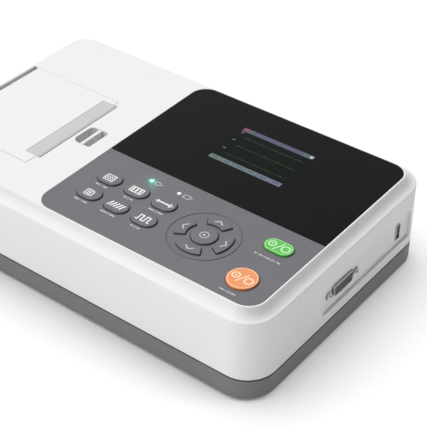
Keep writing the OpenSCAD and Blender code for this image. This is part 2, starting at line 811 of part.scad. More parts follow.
module power_board_parts() {
    z = power_z + board_t;
    v = power_d / 22;
    color("gold") chip(power_x + 6, power_y, z, power_w / 3, 13 * v, 22);
    color("black") {
        for (i = [-1, 1])
            translate([power_x - 24, power_y + 5.5 * v * i, z]) cylinder(r = 4 * v, h = 24);
        chip(power_x + 34, power_y + 4 * v, z, 8, 5 * v, 9);
    }
    color("silver") chip(power_x + 27, power_y - 3 * v, z, 5, 12 * v, 18);
}

module board_screws() {
    color("silver") {
        for (set = [[main_posts, main_z], [power_posts, power_z], [front_posts, front_z]])
            for (p = set[0]) translate([p[0], p[1], set[1] + board_t]) {
                cylinder(r = 2.4, h = 1.6);
                translate([0, 0, -5]) cylinder(r = 1, h = 5);
            }
        for (p = board_posts) translate([p[0], p[1], key_board_z - 1.6]) {
            cylinder(r = 2.4, h = 1.6);
            cylinder(r = 1, h = 7);
        }
    }
}

module front_end_board() {
    color("darkgreen") board(front_x, conn_y, front_w, front_d, front_z, front_posts);
    color("silver") chip(front_x - 6, conn_y, front_z + board_t, 24, 44, 6);
}

module speaker() {
    color("black") translate([speaker_x, speaker_y, floor_z]) difference() {
        union() {
            cylinder(r = speaker_r, h = 3);
            cylinder(r = speaker_r - 3, h = 5);
            cylinder(r = speaker_r - 6, h = speaker_h);
        }
        translate([0, 0, -join]) cylinder(r = speaker_r - 2, h = join + 1);
    }
}

// ---------------------------------------------------------------- panel

module key_hole() {
    translate([0, 0, panel_under - join]) linear_extrude(panel_t + 2 * join) children();
}

module fn_outline(grow) {
    obround(fn_key_w + 2 * grow, fn_key_d + 2 * grow);
}

module start_outline(grow) {
    obround(start_w + 2 * grow, start_d + 2 * grow);
}

// Part of a ring between two radii, centred on a direction; its ends run parallel to its own edges
module ring_sector(r_in, r_out, span, dir) {
    far = 2 * r_out;
    intersection() {
        difference() {
            circle(r = r_out);
            circle(r = r_in);
        }
        polygon([
            [0, 0],
            far * [cos(dir - span / 2), sin(dir - span / 2)],
            far * [cos(dir), sin(dir)],
            far * [cos(dir + span / 2), sin(dir + span / 2)]
        ]);
    }
}

// The sector grows evenly: by radii, and by the angle that the same growth makes at its middle
module arrow_outline(i, grow) {
    ring_sector(arrow_r_in - grow, arrow_r_out + grow,
        arrow_span + 2 * atan(grow / arrow_mid_r), 90 * i);
}

module fascia_body() {
    intersection() {
        panel_outline(panel_under, deck_z, panel_gap);
        box(panel_x - join, panel_x + panel_w + join, panel_y - join, panel_y + fascia_d,
            panel_under - join, deck_z + join);
    }
}

module keypad_fascia() {
    color("gray") difference() {
        fascia_body();
        for (p = fn_places) translate([p[0], p[1], 0]) key_hole() fn_outline(0);
        translate([pad_place[0], pad_place[1], 0]) {
            key_hole() circle(r = ok_r);
            for (i = [0 : 3]) key_hole() arrow_outline(i, 0);
            translate([0, 0, deck_z - 0.4]) rotate_extrude()
                translate([ring_r - 0.4, 0]) square([0.8, 0.4 + join]);
        }
        translate([start_place[0], start_place[1], 0]) key_hole() start_outline(0);
        translate([power_place[0], power_place[1], 0]) key_hole() circle(r = power_r);
        for (p = [ready_place, mains_place])
            translate([p[0], p[1], panel_under - join])
                cylinder(r = light_r + press_gap, h = panel_t + 2 * join);
    }
}

module display_window() {
    color("black") intersection() {
        panel_outline(panel_under, deck_z, panel_gap);
        box(panel_x - join, panel_x + panel_w + join, panel_y + fascia_d, panel_y + panel_d + join,
            panel_under - join, deck_z + join);
    }
}

module display_module() {
    frame_t = 4;
    color("silver") translate([panel_x + lcd_x, panel_y + lcd_y, 0]) {
        box(-lcd_w / 2, lcd_w / 2, -lcd_d / 2, lcd_d / 2, panel_floor - join, panel_under);
        box(-lcd_w / 2 - 5, lcd_w / 2 + 5, -lcd_d / 2 - 6, lcd_d / 2 + 6, panel_floor - frame_t,
            panel_floor);
    }
}

module key_board() {
    x = panel_x + panel_w / 2;
    y = panel_y + 1.6 + key_board_d / 2;
    color("darkgreen") board(x, y, key_board_w, key_board_d, key_board_z, board_posts);
}

module key_switches() {
    base = switch_z - switch_h;
    color("dimgray") for (p = key_places) translate([p[0], p[1], base]) {
        translate([-switch_w / 2, -switch_w / 2, 0]) cube([switch_w, switch_w, switch_h - 1]);
        cylinder(r = 1.7, h = switch_h);
    }
}

module light_guide(p) {
    translate([p[0], p[1], key_board_z + board_t]) {
        cylinder(r = light_r, h = deck_z + 0.3 - key_board_z - board_t);
        cylinder(r = light_r + 1, h = panel_under - seat_gap - key_board_z - board_t);
    }
}

module ready_light() { color("mediumspringgreen") light_guide(ready_place); }
module mains_light() { color("white") light_guide(mains_place); }

// A key: its cap through the fascia, a flange under it and a stem over its switch
module key(p) {
    top = deck_z + key_rise;
    translate([p[0], p[1], 0]) {
        translate([0, 0, panel_under - seat_gap - join])
            linear_extrude(top - 0.4 - panel_under + seat_gap + join) children(0);
        translate([0, 0, top - 0.4 - join]) linear_extrude(0.4 + join) children(1);
        translate([0, 0, panel_under - seat_gap - key_flange_t])
            linear_extrude(key_flange_t) children(2);
    }
}

module key_stem(p) {
    translate([p[0], p[1], stem_z])
        cylinder(r = key_stem_r, h = panel_under - seat_gap - key_flange_t / 2 - stem_z);
}

module fn_key(i) {
    color("gray") {
        key(fn_places[i]) {
            fn_outline(-key_gap);
            fn_outline(-key_gap - 0.4);
            fn_outline(key_flange - key_gap);
        }
        key_stem(fn_places[i]);
    }
}

module fn_key_1() { fn_key(0); }
module fn_key_2() { fn_key(1); }
module fn_key_3() { fn_key(2); }
module fn_key_4() { fn_key(3); }
module fn_key_5() { fn_key(4); }
module fn_key_6() { fn_key(5); }

module arrow_key(i) {
    color("gray") {
        key(pad_place) {
            arrow_outline(i, -key_gap);
            arrow_outline(i, -key_gap - 0.4);
            arrow_outline(i, key_gap);
        }
        key_stem(arrow_places[i]);
    }
}

module arrow_right() { arrow_key(0); }
module arrow_up() { arrow_key(1); }
module arrow_left() { arrow_key(2); }
module arrow_down() { arrow_key(3); }

module ok_key() {
    color("gray") {
        key(pad_place) {
            circle(r = ok_r - key_gap);
            circle(r = ok_r - key_gap - 0.4);
            circle(r = ok_r + key_flange - key_gap);
        }
        key_stem(pad_place);
    }
}

module start_key() {
    color("limegreen") {
        key(start_place) {
            start_outline(-key_gap);
            start_outline(-key_gap - 0.4);
            start_outline(key_flange - key_gap);
        }
        key_stem(start_place);
    }
}

module power_key() {
    color("darkorange") {
        key(power_place) {
            circle(r = power_r - key_gap);
            circle(r = power_r - key_gap - 0.4);
            circle(r = power_r + key_flange - key_gap);
        }
        key_stem(power_place);
    }
}

// ---------------------------------------------------------------- printer lid

module printer_lid() {
    cheek_x0 = platen_x - 9;
    cheek_z = platen_z - bush_r - 1.4;
    // the swing of the cheek's lower corner stays inside the opening of the case
    cheek_x1 = hinge_x + sqrt(pow(lid_end - hinge_x, 2) - pow(hinge_z - cheek_z, 2)) - 0.1;
    color("white") difference() {
        union() {
            box(hinge_x, lid_end, lid_y0, lid_y1, deck_z - lid_t, deck_z);
            rod_y(hinge_x, hinge_z, hinge_r, lid_y0, lid_y1);
            // thicker bed under the tear bar
            box(lid_end - bar_w + bar_over - 2, lid_end, printer_y - bar_l / 2 - 1,
                printer_y + bar_l / 2 + 1, deck_z - bar_t - 1.5, deck_z - bar_t + 0.2);
            // cheeks that carry the platen
            for (s = [-1, 1])
                box(cheek_x0, cheek_x1, printer_y + s * cheek_half - (s < 0 ? cheek_t : 0),
                    printer_y + s * cheek_half + (s < 0 ? 0 : cheek_t), cheek_z, deck_z - lid_t + join);
            // stiffening ribs
            for (i = [0 : 3])
                box(hinge_x + 4, cheek_x0 - 4, printer_y + (0.3 * i - 0.45) * paper_w - 0.8,
                    printer_y + (0.3 * i - 0.45) * paper_w + 0.8, deck_z - lid_t - 2.5, deck_z - lid_t + join);
        }
        // room for the platen
        rod_y(platen_x, platen_z, platen_r + 0.6, printer_y - platen_l / 2 - 1,
            printer_y + platen_l / 2 + 1);
        // notches that the latch's hooks catch
        box(cheek_x1 - 2, cheek_x1 + join, lid_y0, lid_y1, latch_z - part_gap,
            latch_z + latch_plate_t + part_gap);
        // seat of the tear bar
        box(lid_end - bar_w + bar_over - seat_gap / 2, lid_end + join,
            printer_y - bar_l / 2 - seat_gap / 2, printer_y + bar_l / 2 + seat_gap / 2,
            deck_z - bar_t, deck_z + join);
        rod_y(platen_x, platen_z, bush_r + press_gap, lid_y0, lid_y1);
        for (y = [lid_y0 - join, lid_y1 - 6])
            rod_y(hinge_x, hinge_z, hinge_pin_r + press_gap, y, y + 6 + join);
    }
}

module hinge_pins() {
    color("silver") for (y = [lid_y0 - 6, lid_y1 - 6 + 0.2])
        rod_y(hinge_x, hinge_z, hinge_pin_r, y, y + hinge_pin_l - 0.2);
}

module tear_bar() {
    x1 = lid_end + bar_over;
    y0 = printer_y - bar_l / 2;
    tooth = 1.5;
    teeth = floor(bar_l / tooth);
    color("lightgray") translate([0, 0, deck_z - bar_t]) linear_extrude(bar_t)
        polygon(concat(
            [[x1 - bar_w, y0 + bar_l], [x1 - bar_w, y0], [x1 - 0.5, y0]],
            [for (i = [0 : teeth - 1]) for (k = [0, 1])
                [x1 - 0.5 + 0.5 * k, y0 + (i + 0.25 + 0.5 * k) * bar_l / teeth]],
            [[x1 - 0.5, y0 + bar_l]]
        ));
}

module platen_bushes() {
    color("goldenrod") for (s = [-1, 1]) difference() {
        rod_y(platen_x, platen_z, bush_r, printer_y + s * cheek_half - (s < 0 ? cheek_t : 0),
            printer_y + s * cheek_half + (s < 0 ? 0 : cheek_t));
        rod_y(platen_x, platen_z, shaft_r + run_gap, printer_y - 60, printer_y + 60);
    }
}

module platen_roller() {
    color("dimgray") difference() {
        rod_y(platen_x, platen_z, platen_r, printer_y - platen_l / 2, printer_y + platen_l / 2);
        rod_y(platen_x, platen_z, shaft_r + press_gap, printer_y - platen_l, printer_y + platen_l);
    }
}

module platen_shaft() {
    color("silver") rod_y(platen_x, platen_z, shaft_r, gear_y, printer_y + cheek_half + cheek_t);
}

module platen_gear() {
    color("white")
        spur_gear(platen_x, platen_z, platen_teeth, mesh_dir, shaft_r + press_gap);
}

module idler_gear() {
    color("white") spur_gear(idler_x, idler_z, idler_teeth, idler_phase, stud_r + run_gap);
}

module motor_pinion() {
    color("gold") {
        spur_gear(motor_x, motor_z, pinion_teeth, pinion_phase, motor_shaft_r);
        rod_y(motor_x, motor_z, motor_shaft_r, tray_y0 - tray_t - 4, gear_y + gear_w);
    }
}

module gear_stud() {
    color("silver") {
        rod_y(idler_x, idler_z, stud_r, tray_y0 - tray_t, gear_y + gear_w + 1);
        rod_y(idler_x, idler_z, stud_r + 1.2, gear_y + gear_w + part_gap, gear_y + gear_w + 1.2);
    }
}

module stepper_motor() {
    y1 = tray_y0 - tray_t;
    color("silver") difference() {
        union() {
            rod_y(motor_x, motor_z, motor_r, y1 - motor_l, y1);
            for (s = [-1, 1]) rod_y(motor_x + s * (motor_r + 3), motor_z, 3.5, y1 - 1.2, y1);
            box(motor_x - motor_r - 3, motor_x + motor_r + 3, y1 - 1.2, y1, motor_z - 3.5, motor_z + 3.5);
        }
        rod_y(motor_x, motor_z, 3.2, y1 - 5, y1 + join);
        for (s = [-1, 1]) rod_y(motor_x + s * (motor_r + 3), motor_z, 1.6, y1 - 2, y1 + join);
    }
}

// ---------------------------------------------------------------- paper tray

module on_head() {
    translate([platen_x, 0, platen_z]) rotate([0, head_tilt, 0]) children();
}

module head_block(x0, x1, half_l, z0, z1) {
    on_head() box(x0, x1, printer_y - half_l, printer_y + half_l, z0, z1);
}

head_back = head_face + head_t + sink_t + spring_l;
tray_left = -deck_w / 2 + wall + part_gap;
well_right = platen_x - 13;

module paper_tray() {
    side_z = tray_shelf - 3;
    color("gainsboro") difference() {
        union() {
            box(tray_left, well_right + tray_t, tray_y0 - tray_t, tray_y1 + tray_t, tray_floor,
                platen_z - bush_r - 5);
            box(tray_left, roll_x - trough_r - 2, tray_y0 - tray_t, tray_y1 + tray_t, tray_floor,
                deck_under);
            for (y = [tray_y0 - tray_t, tray_y1])
                box(tray_left, tray_right, y, y + tray_t, side_z, deck_under);
            // shelf and rest of the thermal head
            box(well_right, tray_right, tray_y0 - join, tray_y1 + join, side_z, side_z + 2.5);
            head_block(head_back, head_back + rest_t, head_l / 2, -12, 7);
            box(platen_x + 8.6, platen_x + 11.6, printer_y - head_l / 2, printer_y + head_l / 2,
                side_z, platen_z - 18);
            // legs down to the lower shell
            for (x = [tray_left + 8, well_right - 6], y = [tray_y0 + 8, tray_y1 - 8])
                translate([x, y, floor_z]) cylinder(r = 4, h = tray_floor + join - floor_z);
        }
        // trough and well of the paper roll
        rod_y(roll_x, roll_z, trough_r, tray_y0, tray_y1);
        box(roll_x - trough_r, roll_x + trough_r, tray_y0, tray_y1, roll_z, deck_z + join);
        box(tray_left + tray_t, roll_x, tray_y0, tray_y1, roll_z + 16, deck_z + join);
        // notches for the spindle
        rod_y(roll_x, roll_z, journal_r + run_gap, tray_y0 - tray_t - join, tray_y1 + tray_t + join);
        box(roll_x - journal_r - run_gap, roll_x + journal_r + run_gap, tray_y0 - tray_t - join,
            tray_y1 + tray_t + join, roll_z, deck_z + join);
        // room for the hinge blocks of the case
        for (y = [tray_y0 - tray_t - join, tray_y1 - join])
            box(tray_left - join, hinge_x + 3 + part_gap, y, y + tray_t + 2 * join,
                hinge_z - 3 - part_gap, deck_z);
        // holes for the stud and the motor
        rod_y(idler_x, idler_z, stud_r + press_gap, tray_y0 - tray_t - join, tray_y0 + join);
        rod_y(motor_x, motor_z, 4, tray_y0 - tray_t - join, tray_y0 + join);
        for (s = [-1, 1])
            rod_y(motor_x + s * (motor_r + 3), motor_z, 1.6, tray_y0 - tray_t - join, tray_y0 + join);
        // room for the gears in the tray's corner
        rod_y(idler_x, idler_z, gear_m * idler_teeth / 2 + 1.6, tray_y0, gear_y + gear_w + 1.5);
    }
}

module thermal_head() {
    color("tan") head_block(head_face, head_face + head_t, head_l / 2, -5, 5);
}

module head_heatsink() {
    x0 = head_face + head_t;
    color("lightgray") difference() {
        head_block(x0, x0 + sink_t, head_l / 2, -9, 6);
        for (z = [-6.5 : 3 : 3.5])
            on_head() box(x0 + 2.2, x0 + sink_t - 1.2, printer_y - head_l, printer_y + head_l, z, z + 1);
    }
}

module head_springs() {
    color("silver") for (s = [-1, 1]) on_head()
        translate([head_back, printer_y + s * spring_y, -3]) rotate([0, -90, 0])
            coil_spring(spring_r, spring_wire, spring_turns, spring_l);
}

module paper_roll() {
    color("white") difference() {
        rod_y(roll_x, roll_z, roll_r, printer_y - paper_w / 2, printer_y + paper_w / 2);
        rod_y(roll_x, roll_z, core_r, printer_y - paper_w, printer_y + paper_w);
    }
}

module roll_spindle() {
    color("gray") {
        rod_y(roll_x, roll_z, spindle_r, printer_y - paper_w / 2 - 4, printer_y + paper_w / 2 + 4);
        rod_y(roll_x, roll_z, journal_r, tray_y0 - tray_t + 0.5, tray_y1 + tray_t - 0.5);
        for (s = [-1, 1])
            rod_y(roll_x, roll_z, core_r + 3, printer_y + s * (paper_w / 2 + 1.6) - 1.2,
                printer_y + s * (paper_w / 2 + 1.6) + 1.2);
    }
}

module lid_latch() {
    plate_x0 = pocket_x0 - pocket_skirt - 0.6;
    hook_x = lid_end + part_gap;
    reach = cheek_half + cheek_t;
    color("white") {
        box(plate_x0, latch_arm_x + 4, printer_y - latch_plate_d / 2, printer_y + latch_plate_d / 2,
            latch_z, latch_z + latch_plate_t);
        box(latch_bar_x, latch_bar_x + latch_bar_w, printer_y - pocket_d / 2 + part_gap,
            printer_y + pocket_d / 2 - part_gap, latch_z, deck_z - 0.2);
        box(latch_arm_x, latch_arm_x + 4, printer_y - reach, printer_y + reach, latch_z,
            latch_z + latch_plate_t);
        for (s = [-1, 1])
            box(hook_x, latch_arm_x + 4, printer_y + s * reach - (s < 0 ? 0 : latch_arm_w),
                printer_y + s * reach + (s < 0 ? latch_arm_w : 0), latch_z, latch_z + latch_plate_t);
    }
}

// ---------------------------------------------------------------- connectors

module d_outline(w, h, slant) {
    polygon([
        [-w / 2 + slant, -h / 2], [w / 2 - slant, -h / 2], [w / 2, h / 2], [-w / 2, h / 2]
    ]);
}

// Draws a Y-Z outline and carries it along X from x0 to x1
module along_x(x0, x1, y, z) {
    translate([x0, y, z]) rotate([90, 0, 90]) linear_extrude(x1 - x0) children();
}

shell_t = 0.5;
module patient_shell() {
    flange_x = pad_in_x - flange_t;
    color("silver") difference() {
        union() {
            along_x(flange_x, pad_in_x, conn_y, conn_z) rounded_rect(flange_w, flange_h, 1.5);
            along_x(flange_x, case_w / 2, conn_y, conn_z) d_outline(d_shell_w, d_shell_h, 1.6);
        }
        along_x(flange_x - join, case_w / 2 + join, conn_y, conn_z)
            d_outline(d_shell_w - 2 * shell_t, d_shell_h - 2 * shell_t, 1.5);
        for (s = [-1, 1])
            rod_x(conn_y + s * jack_pitch / 2, conn_z, 1.55, flange_x - join, pad_in_x + join);
    }
}

module patient_insert() {
    color("black") difference() {
        union() {
            along_x(pad_in_x - flange_t, case_w / 2 - 0.5, conn_y, conn_z)
                d_outline(d_shell_w - 2 * shell_t - 0.1, d_shell_h - 2 * shell_t - 0.1, 1.5);
            along_x(pad_in_x - flange_t - 10, pad_in_x - flange_t, conn_y, conn_z)
                rounded_rect(d_shell_w + 2, flange_h, 1);
        }
        for (row = [0, 1], i = [0 : (row == 0 ? 7 : 6)])
            rod_x(conn_y - 9.6 + 1.37 * row + 2.74 * i, conn_z + 1.42 - 2.84 * row, 0.55,
                case_w / 2 - 6, case_w / 2 + join);
    }
}

module jack_screws() {
    color("silver") for (s = [-1, 1]) difference() {
        union() {
            along_x(pad_in_x, case_w / 2 - 0.2, conn_y + s * jack_pitch / 2, conn_z)
                circle(r = 2.75, $fn = 6);
            rod_x(conn_y + s * jack_pitch / 2, conn_z, 1.5, pad_in_x - 8, pad_in_x);
        }
        rod_x(conn_y + s * jack_pitch / 2, conn_z, 1.2, pad_in_x - 3, case_w / 2 + join);
    }
}

module port_shell() {
    front = recess_floor_x + 0.6;
    color("silver") difference() {
        along_x(front - port_l, front, port_y, port_z) rounded_rect(port_w, port_h, 0.6);
        along_x(front - port_l + 1, front + join, port_y, port_z)
            rounded_rect(port_w - 2 * port_t, port_h - 2 * port_t, 0.3);
    }
}

module port_tongue() {
    front = recess_floor_x - 1;
    color("black") along_x(recess_floor_x + 1.6 - port_l, front,
        port_y + port_w / 2 - port_t - tongue_t / 2 - 0.4, port_z) square([tongue_t, 11.2], center = true);
}

module mains_inlet() {
    y1 = case_d / 2;
    color("black") translate([inlet_x, y1, inlet_z]) rotate([90, 0, 0]) difference() {
        union() {
            translate([0, 0, 0.1]) linear_extrude(recess_depth - 0.1)
                rounded_rect(inlet_w + 2 * inlet_flange, inlet_h + 2 * inlet_flange, 2);
            linear_extrude(inlet_l) rounded_rect(inlet_w, inlet_h, 2);
        }
        translate([0, 0, -join]) linear_extrude(inlet_cav + join)
            rounded_rect(inlet_w - 3, inlet_h - 3, 3);
        for (p = mains_pin_places) translate([p[0] - inlet_x, p[1] - inlet_z, 0])
            translate([-1.03, -2.03, inlet_cav - join]) cube([2.06, 4.06, inlet_l]);
    }
}

mains_pin_places = [[inlet_x - 7, inlet_z - 2], [inlet_x, inlet_z + 2], [inlet_x + 7, inlet_z - 2]];

module mains_pins() {
    color("silver") for (p = mains_pin_places)
        box(p[0] - 1, p[0] + 1, case_d / 2 - inlet_l - 6, case_d / 2 - 4, p[1] - 2, p[1] + 2);
}

module earth_post() {
    y0 = case_d / 2 - earth_well;
    color("silver") {
        rod_y(earth_x, earth_z, earth_neck_r, y0 - 8, y0 + earth_neck + join);
        rod_y(earth_x, earth_z, earth_r, y0 + earth_neck, y0 + earth_l);
        translate([earth_x, y0 - 1.8, earth_z]) rotate([90, 0, 0]) cylinder(r = 5, h = 2.5, $fn = 6);
    }
}

bottom_case();
top_case();
rubber_feet();
case_screws();
battery_door();
door_screws();
battery_pack();
main_board();
main_board_parts();
board_screws();
power_board();
power_board_parts();
mains_inlet();
mains_pins();
earth_post();
keypad_fascia();
display_window();
display_module();
key_board();
key_switches();
ready_light();
mains_light();
paper_tray();
thermal_head();
head_heatsink();
head_springs();
stepper_motor();
gear_stud();
patient_shell();
patient_insert();
jack_screws();
front_end_board();
port_shell();
port_tongue();
speaker();
printer_lid();
hinge_pins();
tear_bar();
platen_bushes();
platen_roller();
platen_shaft();
platen_gear();
idler_gear();
motor_pinion();
paper_roll();
roll_spindle();
lid_latch();
fn_key_1();
fn_key_2();
fn_key_3();
fn_key_4();
fn_key_5();
fn_key_6();
arrow_right();
arrow_up();
arrow_left();
arrow_down();
ok_key();
start_key();
power_key();
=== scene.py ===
"""Tabletop heart recorder with a strip printer: skins, finishes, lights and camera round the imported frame.

Lengths in this file are millimetres in the part's own frame (X right, Y away, Z up) and become metres
when a mesh is written.
"""
import sys

import logging
import math
from dataclasses import dataclass, field
from enum import Enum
from functools import lru_cache
from typing import Any, Optional, Sequence

import bpy
import numpy as np
from mathutils import Matrix, Vector


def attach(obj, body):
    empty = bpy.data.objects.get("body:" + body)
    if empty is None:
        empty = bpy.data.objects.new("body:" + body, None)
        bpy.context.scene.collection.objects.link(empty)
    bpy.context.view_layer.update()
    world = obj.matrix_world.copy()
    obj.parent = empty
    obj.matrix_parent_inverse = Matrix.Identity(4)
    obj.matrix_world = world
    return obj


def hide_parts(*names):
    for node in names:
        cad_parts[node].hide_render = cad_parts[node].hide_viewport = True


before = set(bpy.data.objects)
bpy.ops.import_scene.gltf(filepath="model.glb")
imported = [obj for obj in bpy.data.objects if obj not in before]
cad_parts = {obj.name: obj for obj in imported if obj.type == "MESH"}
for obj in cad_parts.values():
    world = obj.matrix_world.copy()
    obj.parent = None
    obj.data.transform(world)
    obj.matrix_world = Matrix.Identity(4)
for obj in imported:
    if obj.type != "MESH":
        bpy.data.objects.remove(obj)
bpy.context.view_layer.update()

LOG = logging.getLogger("recorder")
Array = np.ndarray
Pair = tuple[float, float]
Triple = tuple[float, float, float]
Colour = Triple
Point = Sequence[float]
Path = Sequence[Point]
MM = 0.001

DECK = 75.3  # height of the deck and of the panel's plates
PANEL_UNDER = 73.3  # their underside
SOCKET = (-2.8, 40.3)  # middle of the patient connector on the right wall, (y, z)
SOCKET_PITCH = 33.32  # between its two jack screws
PORT = (69.6, 39.5)  # middle of the upright port, (y, z)
INLET = (118.0, 42.0)  # middle of the mains inlet on the back wall, (-x, z)
EARTH = (76.0, 42.0)  # middle of the earth post's well, (-x, z)


# ---------------------------------------------------------------- surfaces


class Facing(Enum):
    """The way a feature looks; the rows are its own across, along and outward directions."""

    TOP = ((1, 0, 0), (0, 1, 0), (0, 0, 1))
    RIGHT = ((0, 1, 0), (0, 0, 1), (1, 0, 0))
    BACK = ((-1, 0, 0), (0, 0, 1), (0, 1, 0))


@dataclass(frozen=True)
class Outline:
    """A closed flat line: points, anticlockwise, and the outward direction at each of them."""

    points: Array
    normals: Array

    def at(self, offset: float) -> Array:
        """The line grown by offset: point plus offset times its outward direction."""
        return self.points + offset * self.normals

    def moved(self, x: float, y: float) -> "Outline":
        """The same line with its middle at x, y."""
        return Outline(self.points + np.array([x, y]), self.normals)


def bend(start: float, end: float, steps: int) -> tuple[Array, Array]:
    """Cosines and sines of even angles from one angle in degrees to another."""
    a = np.radians(np.linspace(start, end, steps + 1))
    return np.cos(a), np.sin(a)


def corners_rounded(points: Path, radii: Any, steps: int = 6) -> Outline:
    """Rounds the corners of a polygon.

    At a corner that turns by t, the arc starts radius * tan(|t| / 2) before the corner; its points are
    the arc's centre plus (minus, in a hollow corner) the radius times the outward direction, which
    turns evenly from one side's to the next.

    Args:
        points: the corners, anticlockwise.
        radii: one radius, or one for each corner.
        steps: segments in each arc.

    Returns:
        The rounded outline.
    """
    corner = np.asarray(points, float)
    radius = np.broadcast_to(np.asarray(radii, float), (len(corner),)).copy()
    into = corner - np.roll(corner, 1, axis=0)
    into /= np.linalg.norm(into, axis=1)[:, None]
    out = np.roll(into, -1, axis=0)
    turn = np.arctan2(into[:, 0] * out[:, 1] - into[:, 1] * out[:, 0], (into * out).sum(1))
    side = np.where(turn >= 0, 1.0, -1.0)[:, None]
    start_normal = np.stack([into[:, 1], -into[:, 0]], 1)
    start = corner - into * (radius * np.tan(np.abs(turn) / 2))[:, None]
    centre = start - side * start_normal * radius[:, None]
    angle = np.arctan2(start_normal[:, 1], start_normal[:, 0])[:, None]
    angle = angle + turn[:, None] * np.linspace(0, 1, steps + 1)
    normals = np.stack([np.cos(angle), np.sin(angle)], 2)
    rounded = centre[:, None, :] + side[:, None, :] * radius[:, None, None] * normals
    return Outline(rounded.reshape(-1, 2), normals.reshape(-1, 2))


def rectangle(
    width: float, depth: float, radii: Any, steps: int = 6, x: float = 0.0, y: float = 0.0
) -> Outline:
    """A rounded rectangle round x, y; the radii run near right, far right, far left, near left."""
    w, d = width / 2, depth / 2
    return corners_rounded([(x + w, y - d), (x + w, y + d), (x - w, y + d), (x - w, y - d)], radii, steps)


def circle(radius: float, x: float = 0.0, y: float = 0.0, count: int = 48) -> Outline:
    """A circle: centre plus radius times (cos a, sin a) for even angles a.

    Args:
        radius: the circle's radius.
        x, y: its centre.
        count: points round it.

    Returns:
        The circle, anticlockwise.
    """
    angle = np.linspace(0, 2 * np.pi, count, endpoint=False)
    normals = np.stack([np.cos(angle), np.sin(angle)], 1)
    return Outline(radius * normals + np.array([x, y]), normals)


def ring_sector(inner: float, outer: float, span: float, direction: float, corner: float) -> Outline:
    """Part of a ring with rounded corners.

    A smaller sector, drawn in by the corner radius, carries outward directions that turn round its
    corners; each point is that sector's point plus the corner radius times its direction.

    Args:
        inner, outer: radii of the ring.
        span, direction: degrees covered, and the degree of the middle.
        corner: radius of the corners.

    Returns:
        The outline round the ring's centre.
    """
    half, quarter = math.radians(span) / 2, np.pi / 2
    far, near = outer - corner, inner + corner
    far_half, near_half = (half - math.asin(corner / radius) for radius in (far, near))
    share = np.arange(6) / 6
    polar: list[Pair] = []
    turn: list[float] = []
    for radius, end, other, there, first in (
        (far, far_half, near, near_half, 0.0),
        (near, -near_half, far, -far_half, np.pi),
    ):
        along = np.linspace(-end, end, 13)
        side = math.copysign(half, end) + first + quarter
        polar += [*((radius, a) for a in along), *[(radius, end)] * 5, *[(other, there)] * 6]
        turn += [*(along + first), *(end + first + (side - end - first) * share[1:])]
        turn += [*(side + (there + first + np.pi - side) * share)]
    radii, angles = np.array(polar).T
    spot = np.stack([radii * np.cos(angles), radii * np.sin(angles)], 1)
    angle = np.array(turn) + math.radians(direction)
    c, s = math.cos(math.radians(direction)), math.sin(math.radians(direction))
    spot = spot @ np.array([[c, s], [-s, c]])
    normals = np.stack([np.cos(angle), np.sin(angle)], 1)
    return Outline(spot + corner * normals, normals)


